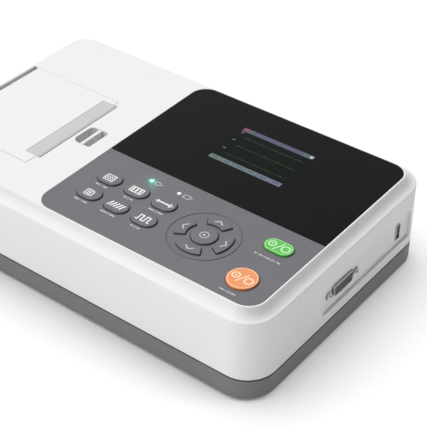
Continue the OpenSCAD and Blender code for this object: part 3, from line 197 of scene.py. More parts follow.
@dataclass
class Solid:
    """Closed mesh data in millimetres, gathered from surfaces on a grid."""

    verts: list[Array] = field(default_factory=list)
    faces: list[Sequence[int]] = field(default_factory=list)
    count: int = 0

    def loft(self, rings: Array, closed: bool = False) -> "Solid":
        """Skins rings of points: the surface is a function of the ring and of the place along it.

        Args:
            rings: an array (rings, points, 3); each ring runs anticlockwise seen from the last one.
            closed: join the last ring to the first, as on a tube bent to a ring; otherwise both ends
                get a flat face.

        Returns:
            This solid.
        """
        rows, cols = rings.shape[:2]
        index = np.arange(rows * cols).reshape(rows, cols) + self.count
        upper = np.roll(index, -1, axis=0) if closed else index[1:]
        lower = index if closed else index[:-1]
        quads = np.stack([lower, np.roll(lower, -1, 1), np.roll(upper, -1, 1), upper], 2).reshape(-1, 4)
        self.faces += quads.tolist()
        if not closed:
            self.faces += [index[0][::-1].tolist(), index[-1].tolist()]
        self.verts.append(rings.reshape(-1, 3))
        self.count += rows * cols
        return self

    def sweep(
        self,
        outline: Outline,
        profile: Path,
        facing: Facing = Facing.TOP,
        base: Point = (0, 0, 0),
        closed: bool = False,
    ) -> "Solid":
        """Carries a profile round an outline.

        Each profile point (offset, height) gives a ring: the outline grown by the offset, raised by the
        height along the facing, from the base point.

        Args:
            outline: the flat line.
            profile: (offset, height) pairs, from the lowest ring up the outside.
            facing: which way the height runs.
            base: the point that the outline's 0, 0 lies on.
            closed: see loft.

        Returns:
            This solid.
        """
        pair = np.asarray(profile, float)
        flat = outline.points[None] + pair[:, 0, None, None] * outline.normals[None]
        height = np.broadcast_to(pair[:, 1, None, None], flat.shape[:2] + (1,))
        turned = np.concatenate([flat, height], 2) @ np.array(facing.value, float)
        return self.loft(turned + np.asarray(base, float), closed)

    def box(self, lo: Point, hi: Point, edge: float) -> "Solid":
        """A block between two corners, its upper and lower edges cut by edge.

        Args:
            lo, hi: its lower and upper corners.
            edge: cut at the upper and lower edges, and radius of the upright ones.

        Returns:
            This solid.
        """
        size, middle = np.subtract(hi, lo), np.add(hi, lo) / 2
        line = rectangle(size[0], size[1], edge, 2, middle[0], middle[1])
        return self.sweep(line, [(-edge, lo[2]), (0, lo[2] + edge), (0, hi[2] - edge), (-edge, hi[2])])

    def rod(self, radius: float, start: Point, end: Point, edge: float) -> "Solid":
        """A round rod between two points, its end edges cut by edge.

        Args:
            radius: the rod's radius.
            start, end: the middles of its two ends.
            edge: cut at its end edges.

        Returns:
            This solid.
        """
        p, q = np.asarray(start, float), np.asarray(end, float)
        axis = (q - p) / np.linalg.norm(q - p)
        side = np.cross(axis, (0, 0, 1) if abs(axis[2]) < 0.9 else (1, 0, 0))
        side /= np.linalg.norm(side)
        other = np.cross(axis, side)
        angle = np.linspace(0, 2 * np.pi, 32, endpoint=False)
        line = np.cos(angle)[:, None] * side + np.sin(angle)[:, None] * other
        wide, narrow = radius * line, (radius - edge) * line
        return self.loft(np.array([p + narrow, p + axis * edge + wide, q - axis * edge + wide, q + narrow]))

    def mesh(self, name: str) -> bpy.types.Mesh:
        """The gathered surfaces as a Blender mesh in metres.

        Args:
            name: the mesh's name.

        Returns:
            The mesh.
        """
        made = bpy.data.meshes.new(name)
        made.from_pydata(np.concatenate(self.verts) * MM, [], self.faces)
        made.validate()
        made.update()
        return made


def flare(depth: float, radius: float, steps: int = 5) -> Array:
    """Profile of a cutter that leaves a rounded mouth.

    The offset is radius * (1 - cos a) at height radius * (sin a - 1) for a from 0 to 80 degrees, with
    a straight wall below down to the depth, and a stub of 1 mm over the surface.

    Args:
        depth: depth of the cutter under the surface.
        radius: radius of the rounded mouth.
        steps: segments in the arc.

    Returns:
        (offset, height) pairs, from the bottom up.
    """
    cos, sin = bend(0, 80, steps)
    arc = np.stack([radius * (1 - cos), radius * (sin - 1)], 1)
    return np.concatenate([[(0.0, -depth)], arc, [(arc[-1, 0] + 0.05 * radius, 1.0)]])


def rounded_top(low: float, high: float, radius: float, steps: int = 5) -> Array:
    """Profile of a slab's side with a rounded upper edge.

    The offset is radius * (cos a - 1) at height high - radius * (1 - sin a) for a from 0 to 90 degrees.

    Args:
        low, high: heights of the slab's underside and top.
        radius: radius of the upper edge.
        steps: segments in the arc.

    Returns:
        (offset, height) pairs, from the underside up.
    """
    cos, sin = bend(0, 90, steps)
    arc = np.stack([-radius * (1 - cos), high - radius * (1 - sin)], 1)
    return np.concatenate([[(0.0, low)], arc])


def band(inner: float, outer: float, low: float, high: float) -> list[Pair]:
    """Closed profile of a band between two offsets and two heights."""
    return [(inner, low), (outer, low), (outer, high), (inner, high)]


def even_shading(body: bpy.types.Object, sharp: float = 32.0) -> None:
    """Smooth shading with crisp edges past the angle, and even normals on the flats.

    Args:
        body: the object.
        sharp: degrees past which an edge is crisp.
    """
    body.data.shade_smooth()
    body.data.set_sharp_from_angle(angle=math.radians(sharp))
    even = body.modifiers.new("even_normals", "WEIGHTED_NORMAL")
    even.keep_sharp = True


def linked(name: str, data: Any) -> bpy.types.Object:
    """Links a mesh, a light or a camera to the scene as an object.

    Args:
        name: the object's name.
        data: its mesh, light or camera.

    Returns:
        The object.
    """
    made = bpy.data.objects.new(name, data)
    bpy.context.scene.collection.objects.link(made)
    return made


def show(name: str, solid: Solid, sharp: float = 32.0) -> bpy.types.Object:
    """Links a solid to the scene as an evenly shaded object.

    Args:
        name: the object's name.
        solid: its shape.
        sharp: see even_shading.

    Returns:
        The object.
    """
    made = linked(name, solid.mesh(name))
    even_shading(made, sharp)
    return made


def carve(body: bpy.types.Object, *cutters: Solid) -> None:
    """Takes the cutters out of the body, one after another, and keeps the result as the body's mesh.

    Args:
        body: the object that is cut.
        cutters: what is taken out of it.
    """
    for solid in cutters:
        tool = linked("cutter", solid.mesh("cutter"))
        body.modifiers.clear()
        cut = body.modifiers.new("cut", "BOOLEAN")
        cut.operation, cut.solver, cut.object = "DIFFERENCE", "EXACT", tool
        bpy.context.view_layer.update()
        graph = bpy.context.evaluated_depsgraph_get()
        done = bpy.data.meshes.new_from_object(body.evaluated_get(graph))
        body.modifiers.clear()
        old, body.data = body.data, done
        bpy.data.meshes.remove(old)
        bpy.data.meshes.remove(tool.data)


def joined(body: bpy.types.Object, solid: Solid) -> None:
    """Adds a solid's faces to the body's mesh.

    Args:
        body: the object that gets the faces.
        solid: the solid that has them.
    """
    extra = solid.mesh("extra")
    merged = bpy.data.meshes.new(body.data.name)
    counts = [len(m.vertices) for m in (body.data, extra)]
    points = [np.empty(3 * n, np.float32) for n in counts]
    for mesh, store in zip((body.data, extra), points):
        mesh.vertices.foreach_get("co", store)
    faces = [list(p.vertices) for p in body.data.polygons]
    faces += [[v + counts[0] for v in p.vertices] for p in extra.polygons]
    merged.from_pydata(np.concatenate(points).reshape(-1, 3), [], faces)
    merged.update()
    old, body.data = body.data, merged
    bpy.data.meshes.remove(old)
    bpy.data.meshes.remove(extra)


# ---------------------------------------------------------------- finishes


class Nodes:
    """A material's or a world's node tree, built a node at a time."""

    def __init__(self, owner: Any) -> None:
        """Empties the owner's tree.

        Args:
            owner: a material or a world.
        """
        owner.use_nodes = True
        self.tree = owner.node_tree
        self.tree.nodes.clear()

    def feed(self, node: bpy.types.Node, inputs: dict) -> None:
        """Gives inputs, by name or number, an output to follow or a constant to hold.

        Args:
            node: the node.
            inputs: outputs or constants, by the input's name or number.
        """
        for key, source in inputs.items():
            if isinstance(source, bpy.types.NodeSocket):
                self.tree.links.new(source, node.inputs[key])
            else:
                node.inputs[key].default_value = source

    def add(self, kind: str, inputs: Optional[dict] = None, **properties: Any) -> bpy.types.Node:
        """Adds a node.

        Args:
            kind: the node's type without its "ShaderNode" start.
            inputs: see feed.
            properties: the node's own settings.

        Returns:
            The node.
        """
        node = self.tree.nodes.new("ShaderNode" + kind)
        for key, value in properties.items():
            setattr(node, key, value)
        self.feed(node, inputs or {})
        return node

    def ramp(self, source: Any, low: float, high: float, to_low: float = 0.0, to_high: float = 1.0) -> Any:
        """Maps a value smoothly from one range to another."""
        inputs = {0: source, 1: low, 2: high, 3: to_low, 4: to_high}
        return self.add("MapRange", inputs, interpolation_type="SMOOTHSTEP").outputs[0]

    def maths(self, operation: str, a: Any, b: Any = 0.0) -> Any:
        """One arithmetic step on values or outputs."""
        return self.add("Math", {0: a, 1: b}, operation=operation).outputs[0]


class Shader(Nodes):
    """A material round one Principled shader."""

    def __init__(self, name: str) -> None:
        """Starts an empty material.

        Args:
            name: the material's name.
        """
        self.material = bpy.data.materials.new(name)
        super().__init__(self.material)
        self.principled = self.add("BsdfPrincipled")
        self.add("OutputMaterial", {0: self.principled.outputs[0]})
        self.place = self.add("TexCoord").outputs["Object"]

    def mapped(self, kind: str, value: Triple) -> Any:
        """Object coordinates after one step, such as Scale or Location."""
        return self.add("Mapping", {"Vector": self.place, kind: value}).outputs[0]

    def noise(self, scale: float, detail: float = 2.0, where: Any = None) -> Any:
        """Noise from 0 to 1 at a scale per metre."""
        inputs = {"Vector": where or self.place, "Scale": scale, "Detail": detail}
        return self.add("TexNoise", inputs).outputs[0]

    def blend(self, factor: Any, a: Any, b: Any) -> Any:
        """A colour between a and b, each an output or a colour."""
        pair = {slot: (*c, 1.0) if isinstance(c, tuple) else c for slot, c in ((6, a), (7, b))}
        return self.add("Mix", {0: factor, **pair}, data_type="RGBA").outputs[2]

    def finished(self, inputs: dict, height: Any = None, relief: float = 0.0, soft: float = 0.0) -> Any:
        """Feeds the Principled shader and returns the material.

        Args:
            inputs: the shader's inputs, see feed.
            height, relief: a height to bump the surface by, and its depth in metres.
            soft: radius in metres over which the bumped edges are softened.

        Returns:
            The material.
        """
        self.feed(self.principled, inputs)
        if height is not None:
            bump = {"Height": height, "Distance": relief, "Strength": 1.0}
            if soft > 0:
                bump["Normal"] = self.add("Bevel", {"Radius": soft}, samples=6).outputs[0]
            self.feed(self.principled, {"Normal": self.add("Bump", bump).outputs[0]})
        return self.material


def shade(colour: Colour, factor: float) -> Colour:
    """A colour made lighter or darker."""
    return tuple(min(1.0, c * factor) for c in colour)


@dataclass(frozen=True)
class Moulded:
    """Moulded plastic: fine spark-eroded grain with paler specks, and a slow drift of tone and gloss."""

    name: str
    colour: Colour
    rough: float = 0.45
    specular: float = 0.5
    grain: float = 1900.0
    relief: float = 0.000012
    drift: float = 0.03
    soft_edge: float = 0.0
    coat: float = 0.0

    def build(self) -> bpy.types.Material:
        """Makes the material.

        Returns:
            The material.
        """
        s = Shader(self.name)
        fine = s.noise(self.grain)
        dark, pale = shade(self.colour, 1 - self.drift), shade(self.colour, 1 + self.drift)
        tone = s.blend(s.noise(9.0, 3.0), dark, pale)
        speck = s.ramp(fine, 0.35, 0.75, 0.0, 0.5)
        coarse = s.noise(self.grain * 0.4, 1.0)
        coat = {"Coat Weight": self.coat, "Coat Roughness": 0.12} if self.coat else {}
        return s.finished(
            {
                "Base Color": s.blend(speck, tone, shade(self.colour, 1 + 1.5 * self.drift)),
                "Roughness": s.ramp(s.noise(45.0, 4.0), 0.3, 0.75, self.rough - 0.05, self.rough + 0.06),
                "Specular IOR Level": self.specular,
                **coat,
            },
            s.maths("ADD", s.maths("MULTIPLY", fine, 0.6), s.maths("MULTIPLY", coarse, 0.4)),
            self.relief,
            self.soft_edge,
        )


@dataclass(frozen=True)
class Metal:
    """Turned, drawn or plated metal: brushing along one direction and small stains."""

    name: str
    colour: Colour
    rough: float = 0.3
    brush: Triple = (60.0, 2500.0, 2500.0)
    soft_edge: float = 0.0001

    def build(self) -> bpy.types.Material:
        """Makes the material.

        Returns:
            The material.
        """
        s = Shader(self.name)
        lines = s.noise(1.0, 3.0, s.mapped("Scale", self.brush))
        stain = s.ramp(s.noise(160.0, 4.0), 0.45, 0.7)
        return s.finished(
            {
                "Base Color": s.blend(stain, self.colour, shade(self.colour, 0.8)),
                "Roughness": s.ramp(lines, 0.3, 0.7, self.rough - 0.07, self.rough + 0.12),
                "Metallic": 1.0,
            },
            lines, 0.000006, self.soft_edge,
        )


@dataclass(frozen=True)
class CircuitBoard:
    """Board laminate: green mask over a mesh of copper tracks, with bright pads."""

    name: str
    colour: Colour = (0.012, 0.10, 0.035)

    def build(self) -> bpy.types.Material:
        """Makes the material.

        Returns:
            The material.
        """
        s = Shader(self.name)
        cells = s.add("TexVoronoi", {"Vector": s.place, "Scale": 420.0}, distance="CHEBYCHEV").outputs[0]
        tracks = s.ramp(cells, 0.42, 0.50)
        pads = s.ramp(s.add("TexVoronoi", {"Vector": s.place, "Scale": 190.0}).outputs[0], 0.16, 0.13)
        tone = s.blend(tracks, self.colour, shade(self.colour, 1.7))
        colour = s.blend(pads, tone, (0.55, 0.53, 0.48))
        rough = s.ramp(pads, 0.0, 1.0, 0.32, 0.24)
        return s.finished({"Base Color": colour, "Roughness": rough}, tracks, 0.00003)


@dataclass(frozen=True)
class PaperRoll:
    """A wound strip: thin rings on the ends, counted from the roll's axis, and a soft fibre on the wrap."""

    name: str
    axis: Pair
    colour: Colour = (0.82, 0.80, 0.76)

    def build(self) -> bpy.types.Material:
        """Makes the material.

        Returns:
            The material.
        """
        s = Shader(self.name)
        shift = s.mapped("Location", (-self.axis[0] * MM, 0.0, -self.axis[1] * MM))
        flat = s.add("VectorMath", {0: shift, 1: (1.0, 0.0, 1.0)}, operation="MULTIPLY").outputs[0]
        radius = s.add("VectorMath", {0: flat}, operation="LENGTH").outputs["Value"]
        layers = s.ramp(s.maths("SINE", s.maths("MULTIPLY", radius, 14000.0)), -1.0, 1.0)
        fibre = s.noise(900.0, 4.0)
        colour = s.blend(s.maths("MULTIPLY", layers, 0.6), self.colour, shade(self.colour, 0.86))
        rough = s.ramp(fibre, 0.3, 0.7, 0.75, 0.9)
        return s.finished({"Base Color": colour, "Roughness": rough}, s.maths("ADD", layers, fibre), 0.00001)


@dataclass(frozen=True)
class Lamp:
    """A lit lens, whose colour and glow drift a little in moulding swirls."""

    name: str
    colour: Colour
    glow: Colour
    strength: float

    def build(self) -> bpy.types.Material:
        """Makes the material.

        Returns:
            The material.
        """
        s = Shader(self.name)
        swirl = s.noise(700.0)
        return s.finished(
            {
                "Base Color": s.blend(swirl, self.colour, shade(self.colour, 1.15)),
                "Roughness": s.ramp(swirl, 0.3, 0.7, 0.18, 0.3),
                "Emission Color": s.blend(swirl, self.glow, shade(self.glow, 1.2)),
                "Emission Strength": self.strength,
            },
            swirl, 0.00002,
        )


@dataclass(frozen=True)
class LitPicture:
    """The display's picture: its colours come from the mesh's own attribute, split into fine dot rows."""

    name: str

    def build(self) -> bpy.types.Material:
        """Makes the material.

        Returns:
            The material.
        """
        s = Shader(self.name)
        tint = s.add("Attribute", attribute_name="tint", attribute_type="GEOMETRY").outputs["Color"]
        wave = {"Vector": s.place, "Scale": 700.0}
        rows = s.add("TexWave", wave, wave_type="BANDS", bands_direction="Y").outputs[1]
        return s.finished({
            "Emission Color": s.blend(s.maths("MULTIPLY", rows, 0.2), tint, (0.0, 0.0, 0.0)),
            "Base Color": s.blend(rows, (0.002, 0.0032, 0.0026), (0.001, 0.002, 0.0016)),
            "Roughness": s.ramp(rows, 0.0, 1.0, 0.16, 0.2),
            "Emission Strength": 1.0,
            "Specular IOR Level": 0.05,
        })


FINISHES = {finish.name: finish for finish in (
    Moulded("white_shell", (0.80, 0.80, 0.795), rough=0.42, drift=0.012, soft_edge=0.0003),
    Moulded("grey_shell", (0.165, 0.165, 0.168), rough=0.5, drift=0.05, soft_edge=0.0003),
    Moulded("rubber_black", (0.03, 0.03, 0.032), 0.8, 0.3, grain=900.0, relief=0.00004, drift=0.15),
    Metal("steel", (0.62, 0.61, 0.59), rough=0.28),
    Metal("zinc_steel", (0.66, 0.66, 0.68), rough=0.36),
    Moulded("battery_wrap", (0.045, 0.10, 0.26), 0.3, relief=0.00003, grain=300.0, drift=0.08, coat=0.4),
    CircuitBoard("board_green"),
    Moulded("board_parts", (0.035, 0.035, 0.038), rough=0.5, drift=0.3, grain=1200.0, soft_edge=0.0002),
    Moulded("black_plastic", (0.022, 0.022, 0.024), rough=0.42, drift=0.1, soft_edge=0.0002),
    Metal("contact_brass", (0.78, 0.58, 0.26), rough=0.3),
    # grey of the latch plate: painted shade at the bottom of the finger pocket
    Moulded("latch_shade_grey", (0.30, 0.30, 0.305), rough=0.5, drift=0.04),
    Moulded("fascia_grey", (0.124, 0.122, 0.137), rough=0.46, drift=0.025, grain=2400.0),
    Moulded("display_black", (0.0030, 0.0030, 0.0033), 0.14, 0.06, grain=60.0, relief=0.000002, drift=0.06),
    Metal("display_frame", (0.55, 0.55, 0.56), rough=0.4),
    Moulded("switch_plastic", (0.05, 0.05, 0.052), rough=0.5, drift=0.1),
    Lamp("light_green", (0.10, 0.55, 0.32), (0.58, 1.0, 0.80), 1.0),
    # a glowing printed ring, no lamp: painted glow of the green light on the fascia
    Lamp("painted_glow_green", (0.03, 0.19, 0.13), (0.06, 0.50, 0.34), 0.22),
    Lamp("light_white", (0.75, 0.75, 0.75), (0.8, 0.85, 0.85), 0.15),
    Moulded("frame_plastic", (0.42, 0.42, 0.43), rough=0.55, drift=0.04, soft_edge=0.0003),
    Moulded("head_ceramic", (0.62, 0.55, 0.44), rough=0.25, drift=0.05, grain=700.0, coat=0.3),
    Metal("heatsink", (0.72, 0.72, 0.73), rough=0.42, brush=(2500.0, 40.0, 2500.0)),
    Metal("shield_can", (0.6, 0.6, 0.62), rough=0.35),
    Moulded("bar_grey", (0.54, 0.54, 0.545), rough=0.34, drift=0.03, soft_edge=0.00015),
    Moulded("platen_rubber", (0.05, 0.05, 0.052), 0.72, 0.3, grain=1500.0, relief=0.00003, drift=0.1),
    Moulded("gear_acetal", (0.75, 0.74, 0.70), rough=0.38, drift=0.02, soft_edge=0.0001),
    PaperRoll("paper", (-118.3, 38.0)),
    Moulded("spindle_grey", (0.26, 0.26, 0.27), rough=0.5, drift=0.05, soft_edge=0.0003),
    Moulded("key_grey", (0.127, 0.125, 0.140), rough=0.44, drift=0.03, grain=2600.0),
    Moulded("key_green", (0.095, 0.46, 0.078), rough=0.38, drift=0.05, grain=2600.0),
    Moulded("key_orange", (0.80, 0.285, 0.10), rough=0.38, drift=0.04, grain=2600.0),
    Moulded("print_white", (0.86, 0.86, 0.87), rough=0.6, drift=0.05, grain=3000.0, relief=0.000004),
    Moulded("print_pale", (0.50, 0.50, 0.53), rough=0.6, drift=0.08, grain=3000.0, relief=0.000004),
    # print_green and print_orange also draw the pale line inside the start and power keys' edges: a painted
    # highlight of their shoulders
    Moulded("print_green", (0.46, 0.90, 0.40), rough=0.5, drift=0.05, grain=3000.0),
    Moulded("print_orange", (0.97, 0.68, 0.46), rough=0.5, drift=0.05, grain=3000.0),
    LitPicture("picture"),
    Moulded("floor", (0.80, 0.80, 0.80), 0.9, 0.1, grain=60.0, relief=0.00001, drift=0.002),
)}

# CAD nodes that show another finish than their slot's
OTHER_FINISH = {"port_tongue": "spindle_grey"}


@lru_cache(maxsize=None)
def material(name: str) -> bpy.types.Material:
    """The material of a finish, made once."""
    return FINISHES[name].build()


def dress(piece: bpy.types.Object, finish: str) -> None:
    """Gives every face of a piece one finish."""
    piece.data.materials.clear()
    piece.data.materials.append(material(finish))


def place(
    piece: bpy.types.Object, body: str, finish: str, nodes: Sequence[str] = ()
) -> None:
    """Dresses a new piece, lets it ride on a body and hides the CAD nodes that it stands for.

    Args:
        piece: the new object.
        body: the body that it moves with.
        finish: its finish.
        nodes: CAD nodes that it replaces.
    """
    dress(piece, finish)
    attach(piece, body)
    if nodes:
        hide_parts(*nodes)
    LOG.info("%s on %s, %d faces, finish %s", piece.name, body, len(piece.data.polygons), finish)


# ---------------------------------------------------------------- case


@dataclass
class Case:
    """The white upper shell, with its cove, rounded mouths and inner bosses."""

    width: float = 333.4
    depth: float = 210.2
    corner: float = 23.0
    wall: float = 2.6
    seam: float = 19.7
    deck: float = DECK
    cove_width: float = 8.4
    cove_drop: float = 7.0
    cove_turn: float = 74.0
    deck_round: float = 0.55
    rim_round: float = 1.0
    lip: float = 0.35
    recess: float = 1.8
    well: float = 9.0
    post: float = 4.0
    post_low: float = 23.7

    def cove(self) -> Array:
        """Profile from the wall's top over the rim and up the cove to the deck.

        The rim is a quarter circle. The cove is an arc of the radius chord / (2 sin(turn / 2)) whose
        centre lies outside it; the deck's edge is a circle that touches both the deck's plane and the
        cove's circle, so its centre is the sum of the two radii away from the cove's.

        Returns:
            (offset, height) pairs.
        """
        drop, wide = self.cove_drop, self.cove_width
        chord = math.hypot(wide, drop)
        half = math.radians(self.cove_turn / 2)
        radius = chord / (2 * math.sin(half))
        off = radius * math.cos(half) / chord
        cx, cz = -wide / 2 + off * drop, self.deck - drop / 2 + off * wide
        fillet = self.deck_round
        fz = self.deck - fillet
        fx = cx - math.sqrt((radius + fillet) ** 2 - (fz - cz) ** 2)
        top = math.atan2(fz - cz, fx - cx)
        rim = self.rim_round
        rim_x = -rim
        rim_z = cz - math.sqrt(radius**2 - (rim_x - cx) ** 2)
        low = math.atan2(rim_z - cz, rim_x - cx)
        cos, sin = bend(0, 84, 6)
        over = np.stack([rim_x + rim * cos, rim_z - rim + rim * sin], 1)
        b = np.linspace(low, top, 15)
        hollow = np.stack([cx + radius * np.cos(b), cz + radius * np.sin(b)], 1)
        c = np.linspace(top + math.pi, math.pi / 2, 7)[1:]
        edge = np.stack([fx + fillet * np.cos(c), fz + fillet * np.sin(c)], 1)
        return np.concatenate([over, hollow, edge])

    @property
    def ceiling(self) -> float:
        """Height of the inside over the cove."""
        return self.deck - self.cove_drop - self.wall

    def shell(self) -> Solid:
        """One closed surface: inside of the deck, inner wall, lower lip, outer wall, rim, cove and deck.

        Returns:
            The shell before its hollows are cut.
        """
        line = rectangle(self.width, self.depth, self.corner, 16)
        inner = -self.cove_width - self.wall
        cos, sin = bend(0, 90, 4)
        lower = np.stack([-self.lip + self.lip * sin, self.seam + self.lip - self.lip * cos], 1)
        start = [(inner, self.deck - self.wall), (inner, self.ceiling), (-self.wall, self.ceiling),
                 (-self.wall, self.seam)]
        return Solid().sweep(line, np.concatenate([start, lower, self.cove()]))

    def hollows(self) -> Solid:
        """The hollows with rounded mouths: panel, lid, latch pocket, recess, inlet, well and slots.

        Returns:
            The cutters, as one solid.
        """
        lid_opening = corners_rounded([
            (-67.2, -65.3), (-67.2, -54.85), (-63.5, -54.85), (-63.5, 31.25), (-67.2, 31.25),
            (-67.2, 36.3), (-155.4, 36.3), (-155.4, -65.3),
        ], 0.3, 3)
        deck, right, back = (0, 0, self.deck), (self.width / 2, 0, 0), (0, self.depth / 2, 0)
        made = Solid()
        for outline, profile, facing, base in (
            (rectangle(188, 190.8, 13.3, 12, 63.0, 0.0), flare(2.0, 0.14), Facing.TOP, deck),
            (lid_opening, flare(9.0, 0.2), Facing.TOP, deck),
            (POCKET.outline(), flare(9.0, 0.6), Facing.TOP, deck),
            (rectangle(112.0, 23.6, 3.0, 6, 28.6, 39.5), flare(self.recess, 0.3), Facing.RIGHT, right),
            (rectangle(32.4, 24.9, 2.0, 5, *INLET), flare(self.recess, 0.4), Facing.BACK, back),
            (circle(self.well, *EARTH), flare(6.0, 0.5), Facing.BACK, back),
        ):
            made.sweep(outline, profile, facing, base)
        for i in range(10):
            slot = rectangle(2.0, 20.0, 0.95, 4, -30.0 - 8.0 * i, 44.0)
            made.sweep(slot, flare(4.0, 0.3, 3), Facing.BACK, back)
        return made

    def openings(self) -> Solid:
        """The straight openings that go on from the hollows: connectors, inlet, keys and display.

        Returns:
            The cutters, as one solid.
        """
        made = Solid()
        screws = [circle(3.2, SOCKET[0] + side * SOCKET_PITCH / 2, SOCKET[1]) for side in (-1, 1)]
        for outline in (rectangle(26.0, 9.4, 1.2, 5, *SOCKET), *screws, rectangle(6.2, 13.6, 0.8, 4, *PORT)):
            made.sweep(outline, [(0, -3.0), (0, 0.3)], Facing.RIGHT, (self.width / 2 - self.recess, 0, 0))
        inlet = rectangle(27.4, 19.9, 1.0, 4, *INLET)
        made.sweep(inlet, [(0, -6.0), (0, 0.2)], Facing.BACK, (0, self.depth / 2 - self.recess, 0))
        for width, depth, y in ((161.7, 58.0, -51.4), (66.6, 50.6, 44.9)):
            outline = rectangle(width, depth, 0.5, 3, 62.6, y)
            made.sweep(outline, [(0, -5.0), (0, 0.3)], base=(0, 0, PANEL_UNDER))
        return made

    def bosses(self) -> Solid:
        """Pocket skirt, hinge blocks, screw posts and the earth post's cup.

        Returns:
            The bosses, as one solid.
        """
        made = Solid()
        under = self.deck - self.wall
        made.sweep(POCKET.outline(), band(0.0, 1.2, 68.6, under), closed=True)
        for y in (-72.3, 36.3):
            made.box((-153.3, y, 70.1), (-147.3, y + 7.0, under), 0.2)
        x, y, x_mid, y_mid = 159.0, 83.995, -22.0, 98.1
        for spot in ((x, y), (-x, y), (-x, -y), (x, -y), (x_mid, y_mid), (x_mid, -y_mid)):
            made.rod(self.post, (*spot, self.post_low), (*spot, self.ceiling), 0.3)
        cup = [(0, -12.0), (0, -1.0), (1.8, -1.0), (1.8, -13.8), (-8.9, -13.8), (-8.9, -12.0)]
        return made.sweep(circle(self.well, *EARTH), cup, Facing.BACK, (0, self.depth / 2, 0), closed=True)

    def seam_painted_shade(self) -> Solid:
        """A black strip in the groove between the two shells, painted shade of the seam: a flat band carried
        round the case.
        """
        line = rectangle(self.width, self.depth, self.corner, 16)
        return Solid().sweep(line, band(-2.2, -0.35, self.seam - 1.15, self.seam - 0.05), closed=True)

    def build(self) -> None:
        """Makes the upper shell and the black seam strip of painted shade."""
        shell = show("upper_shell", self.shell())
        carve(shell, self.hollows(), self.openings())
        joined(shell, self.bosses())
        even_shading(shell)
        place(shell, "case", "white_shell", nodes=["top_case"])
        # the black strip in the seam groove is painted shade
        place(show("seam_painted_shade", self.seam_painted_shade()), "case", "black_plastic")


@dataclass(frozen=True)
class LatchPocket:
    """The finger pocket right of the lid: round at its left, nearly square at its right."""

    left: float = -60.5
    width: float = 15.7
    middle: float = -11.8
    depth: float = 22.2
    left_round: float = 4.6
    right_round: float = 1.3

    def outline(self) -> Outline:
        """The pocket's mouth seen from above."""
        r, l = self.right_round, self.left_round
        return rectangle(self.width, self.depth, (r, r, l, l), 8, self.left + self.width / 2, self.middle)


POCKET = LatchPocket()


@dataclass
class Latch:
    """The lid's latch: a white finger bar on a sliding plate with two hooked arms, the plate grey as painted
    shade of the pocket over it.
    """

    bar_x: float = -54.0
    bar_width: float = 3.3
    low: float = 66.7
    high: float = 68.3
    right: float = -35.8
    arm: float = 4.0
    reach: float = 47.2
    hook: float = 3.0
    top: float = 75.1
    left: float = -62.3
    half_plate: float = 14.1
    hook_left: float = -67.2

    def build(self) -> None:
        """Makes the bar and the plate."""
        middle, low, high, right = POCKET.middle, self.low, self.high, self.right
        line = rectangle(self.bar_width, 21.6, 0.9, 5, self.bar_x + self.bar_width / 2, middle)
        bar = Solid().sweep(line, rounded_top(high + 0.02, self.top, 0.8))
        half = self.half_plate
        plate = Solid().box((self.left, middle - half, low), (right, middle + half, high), 0.2)
        plate.box((right - self.arm, middle - self.reach, low), (right, middle + self.reach, high), 0.2)
        for side in (-1, 1):
            y0, y1 = sorted((middle + side * self.reach, middle + side * (self.reach - self.hook)))
            plate.box((self.hook_left, y0, low), (right, y1, high), 0.2)
        place(show("latch_bar", bar), "latch", "white_shell", nodes=["lid_latch"])
        # the plate's grey is painted shade at the bottom of the finger pocket
        place(show("latch_plate", plate), "latch", "latch_shade_grey", ["lid_latch"])


# ---------------------------------------------------------------- panel


@dataclass
class KeyStyle:
    """One key: its name, its place on the panel, its outline, its finish, its marks and their ink.

    The flange is how far its foot reaches past its neck; the stem stands at an offset from its place.
    """

    name: str
    at: Pair
    outline: Outline
    finish: str
    marks: list[Any]
    ink: str
    flange: float = 1.0
    stem: Pair = (0, 0)


def line_mark(points: Path, width: float) -> Outline:
    """A drawn stroke: both sides of a bent line, half the width away along its mitred directions.

    At a bend the mitre direction is the sum of the two side directions divided by one plus their dot
    product.

    Args:
        points: the line's points, from one end to the other.
        width: the stroke's width.

    Returns:
        The stroke's outline.
    """
    path = np.asarray(points, float)
    step = np.diff(path, axis=0)
    step /= np.linalg.norm(step, axis=1)[:, None]
    side = np.stack([step[:, 1], -step[:, 0]], 1)
    first, last = np.vstack([side[:1], side]), np.vstack([side, side[-1:]])
    mitre = (first + last) / np.maximum(1 + (first * last).sum(1), 0.35)[:, None]
    right, left = path + mitre * width / 2, path - mitre * width / 2
    return corners_rounded(np.vstack([right, left[::-1]]), 0.001, 1)


def dash(x0: float, y0: float, x1: float, y1: float, width: float) -> Outline:
    """A straight stroke between two points."""
    return line_mark([(x0, y0), (x1, y1)], width)


def frame_mark(width: float, depth: float, stroke: float, x: float = 0.0) -> tuple[Outline, float]:
    """A thin rectangle drawn as a closed stroke: its outline and the stroke's width."""
    return rectangle(width - stroke, depth - stroke, 0.3, 2, x), stroke


def ring_mark(radius: float, stroke: float, x: float = 0.0, y: float = 0.0) -> tuple[Outline, float]:
    """A thin circle drawn as a closed stroke."""
    return circle(radius, x, y, 32), stroke


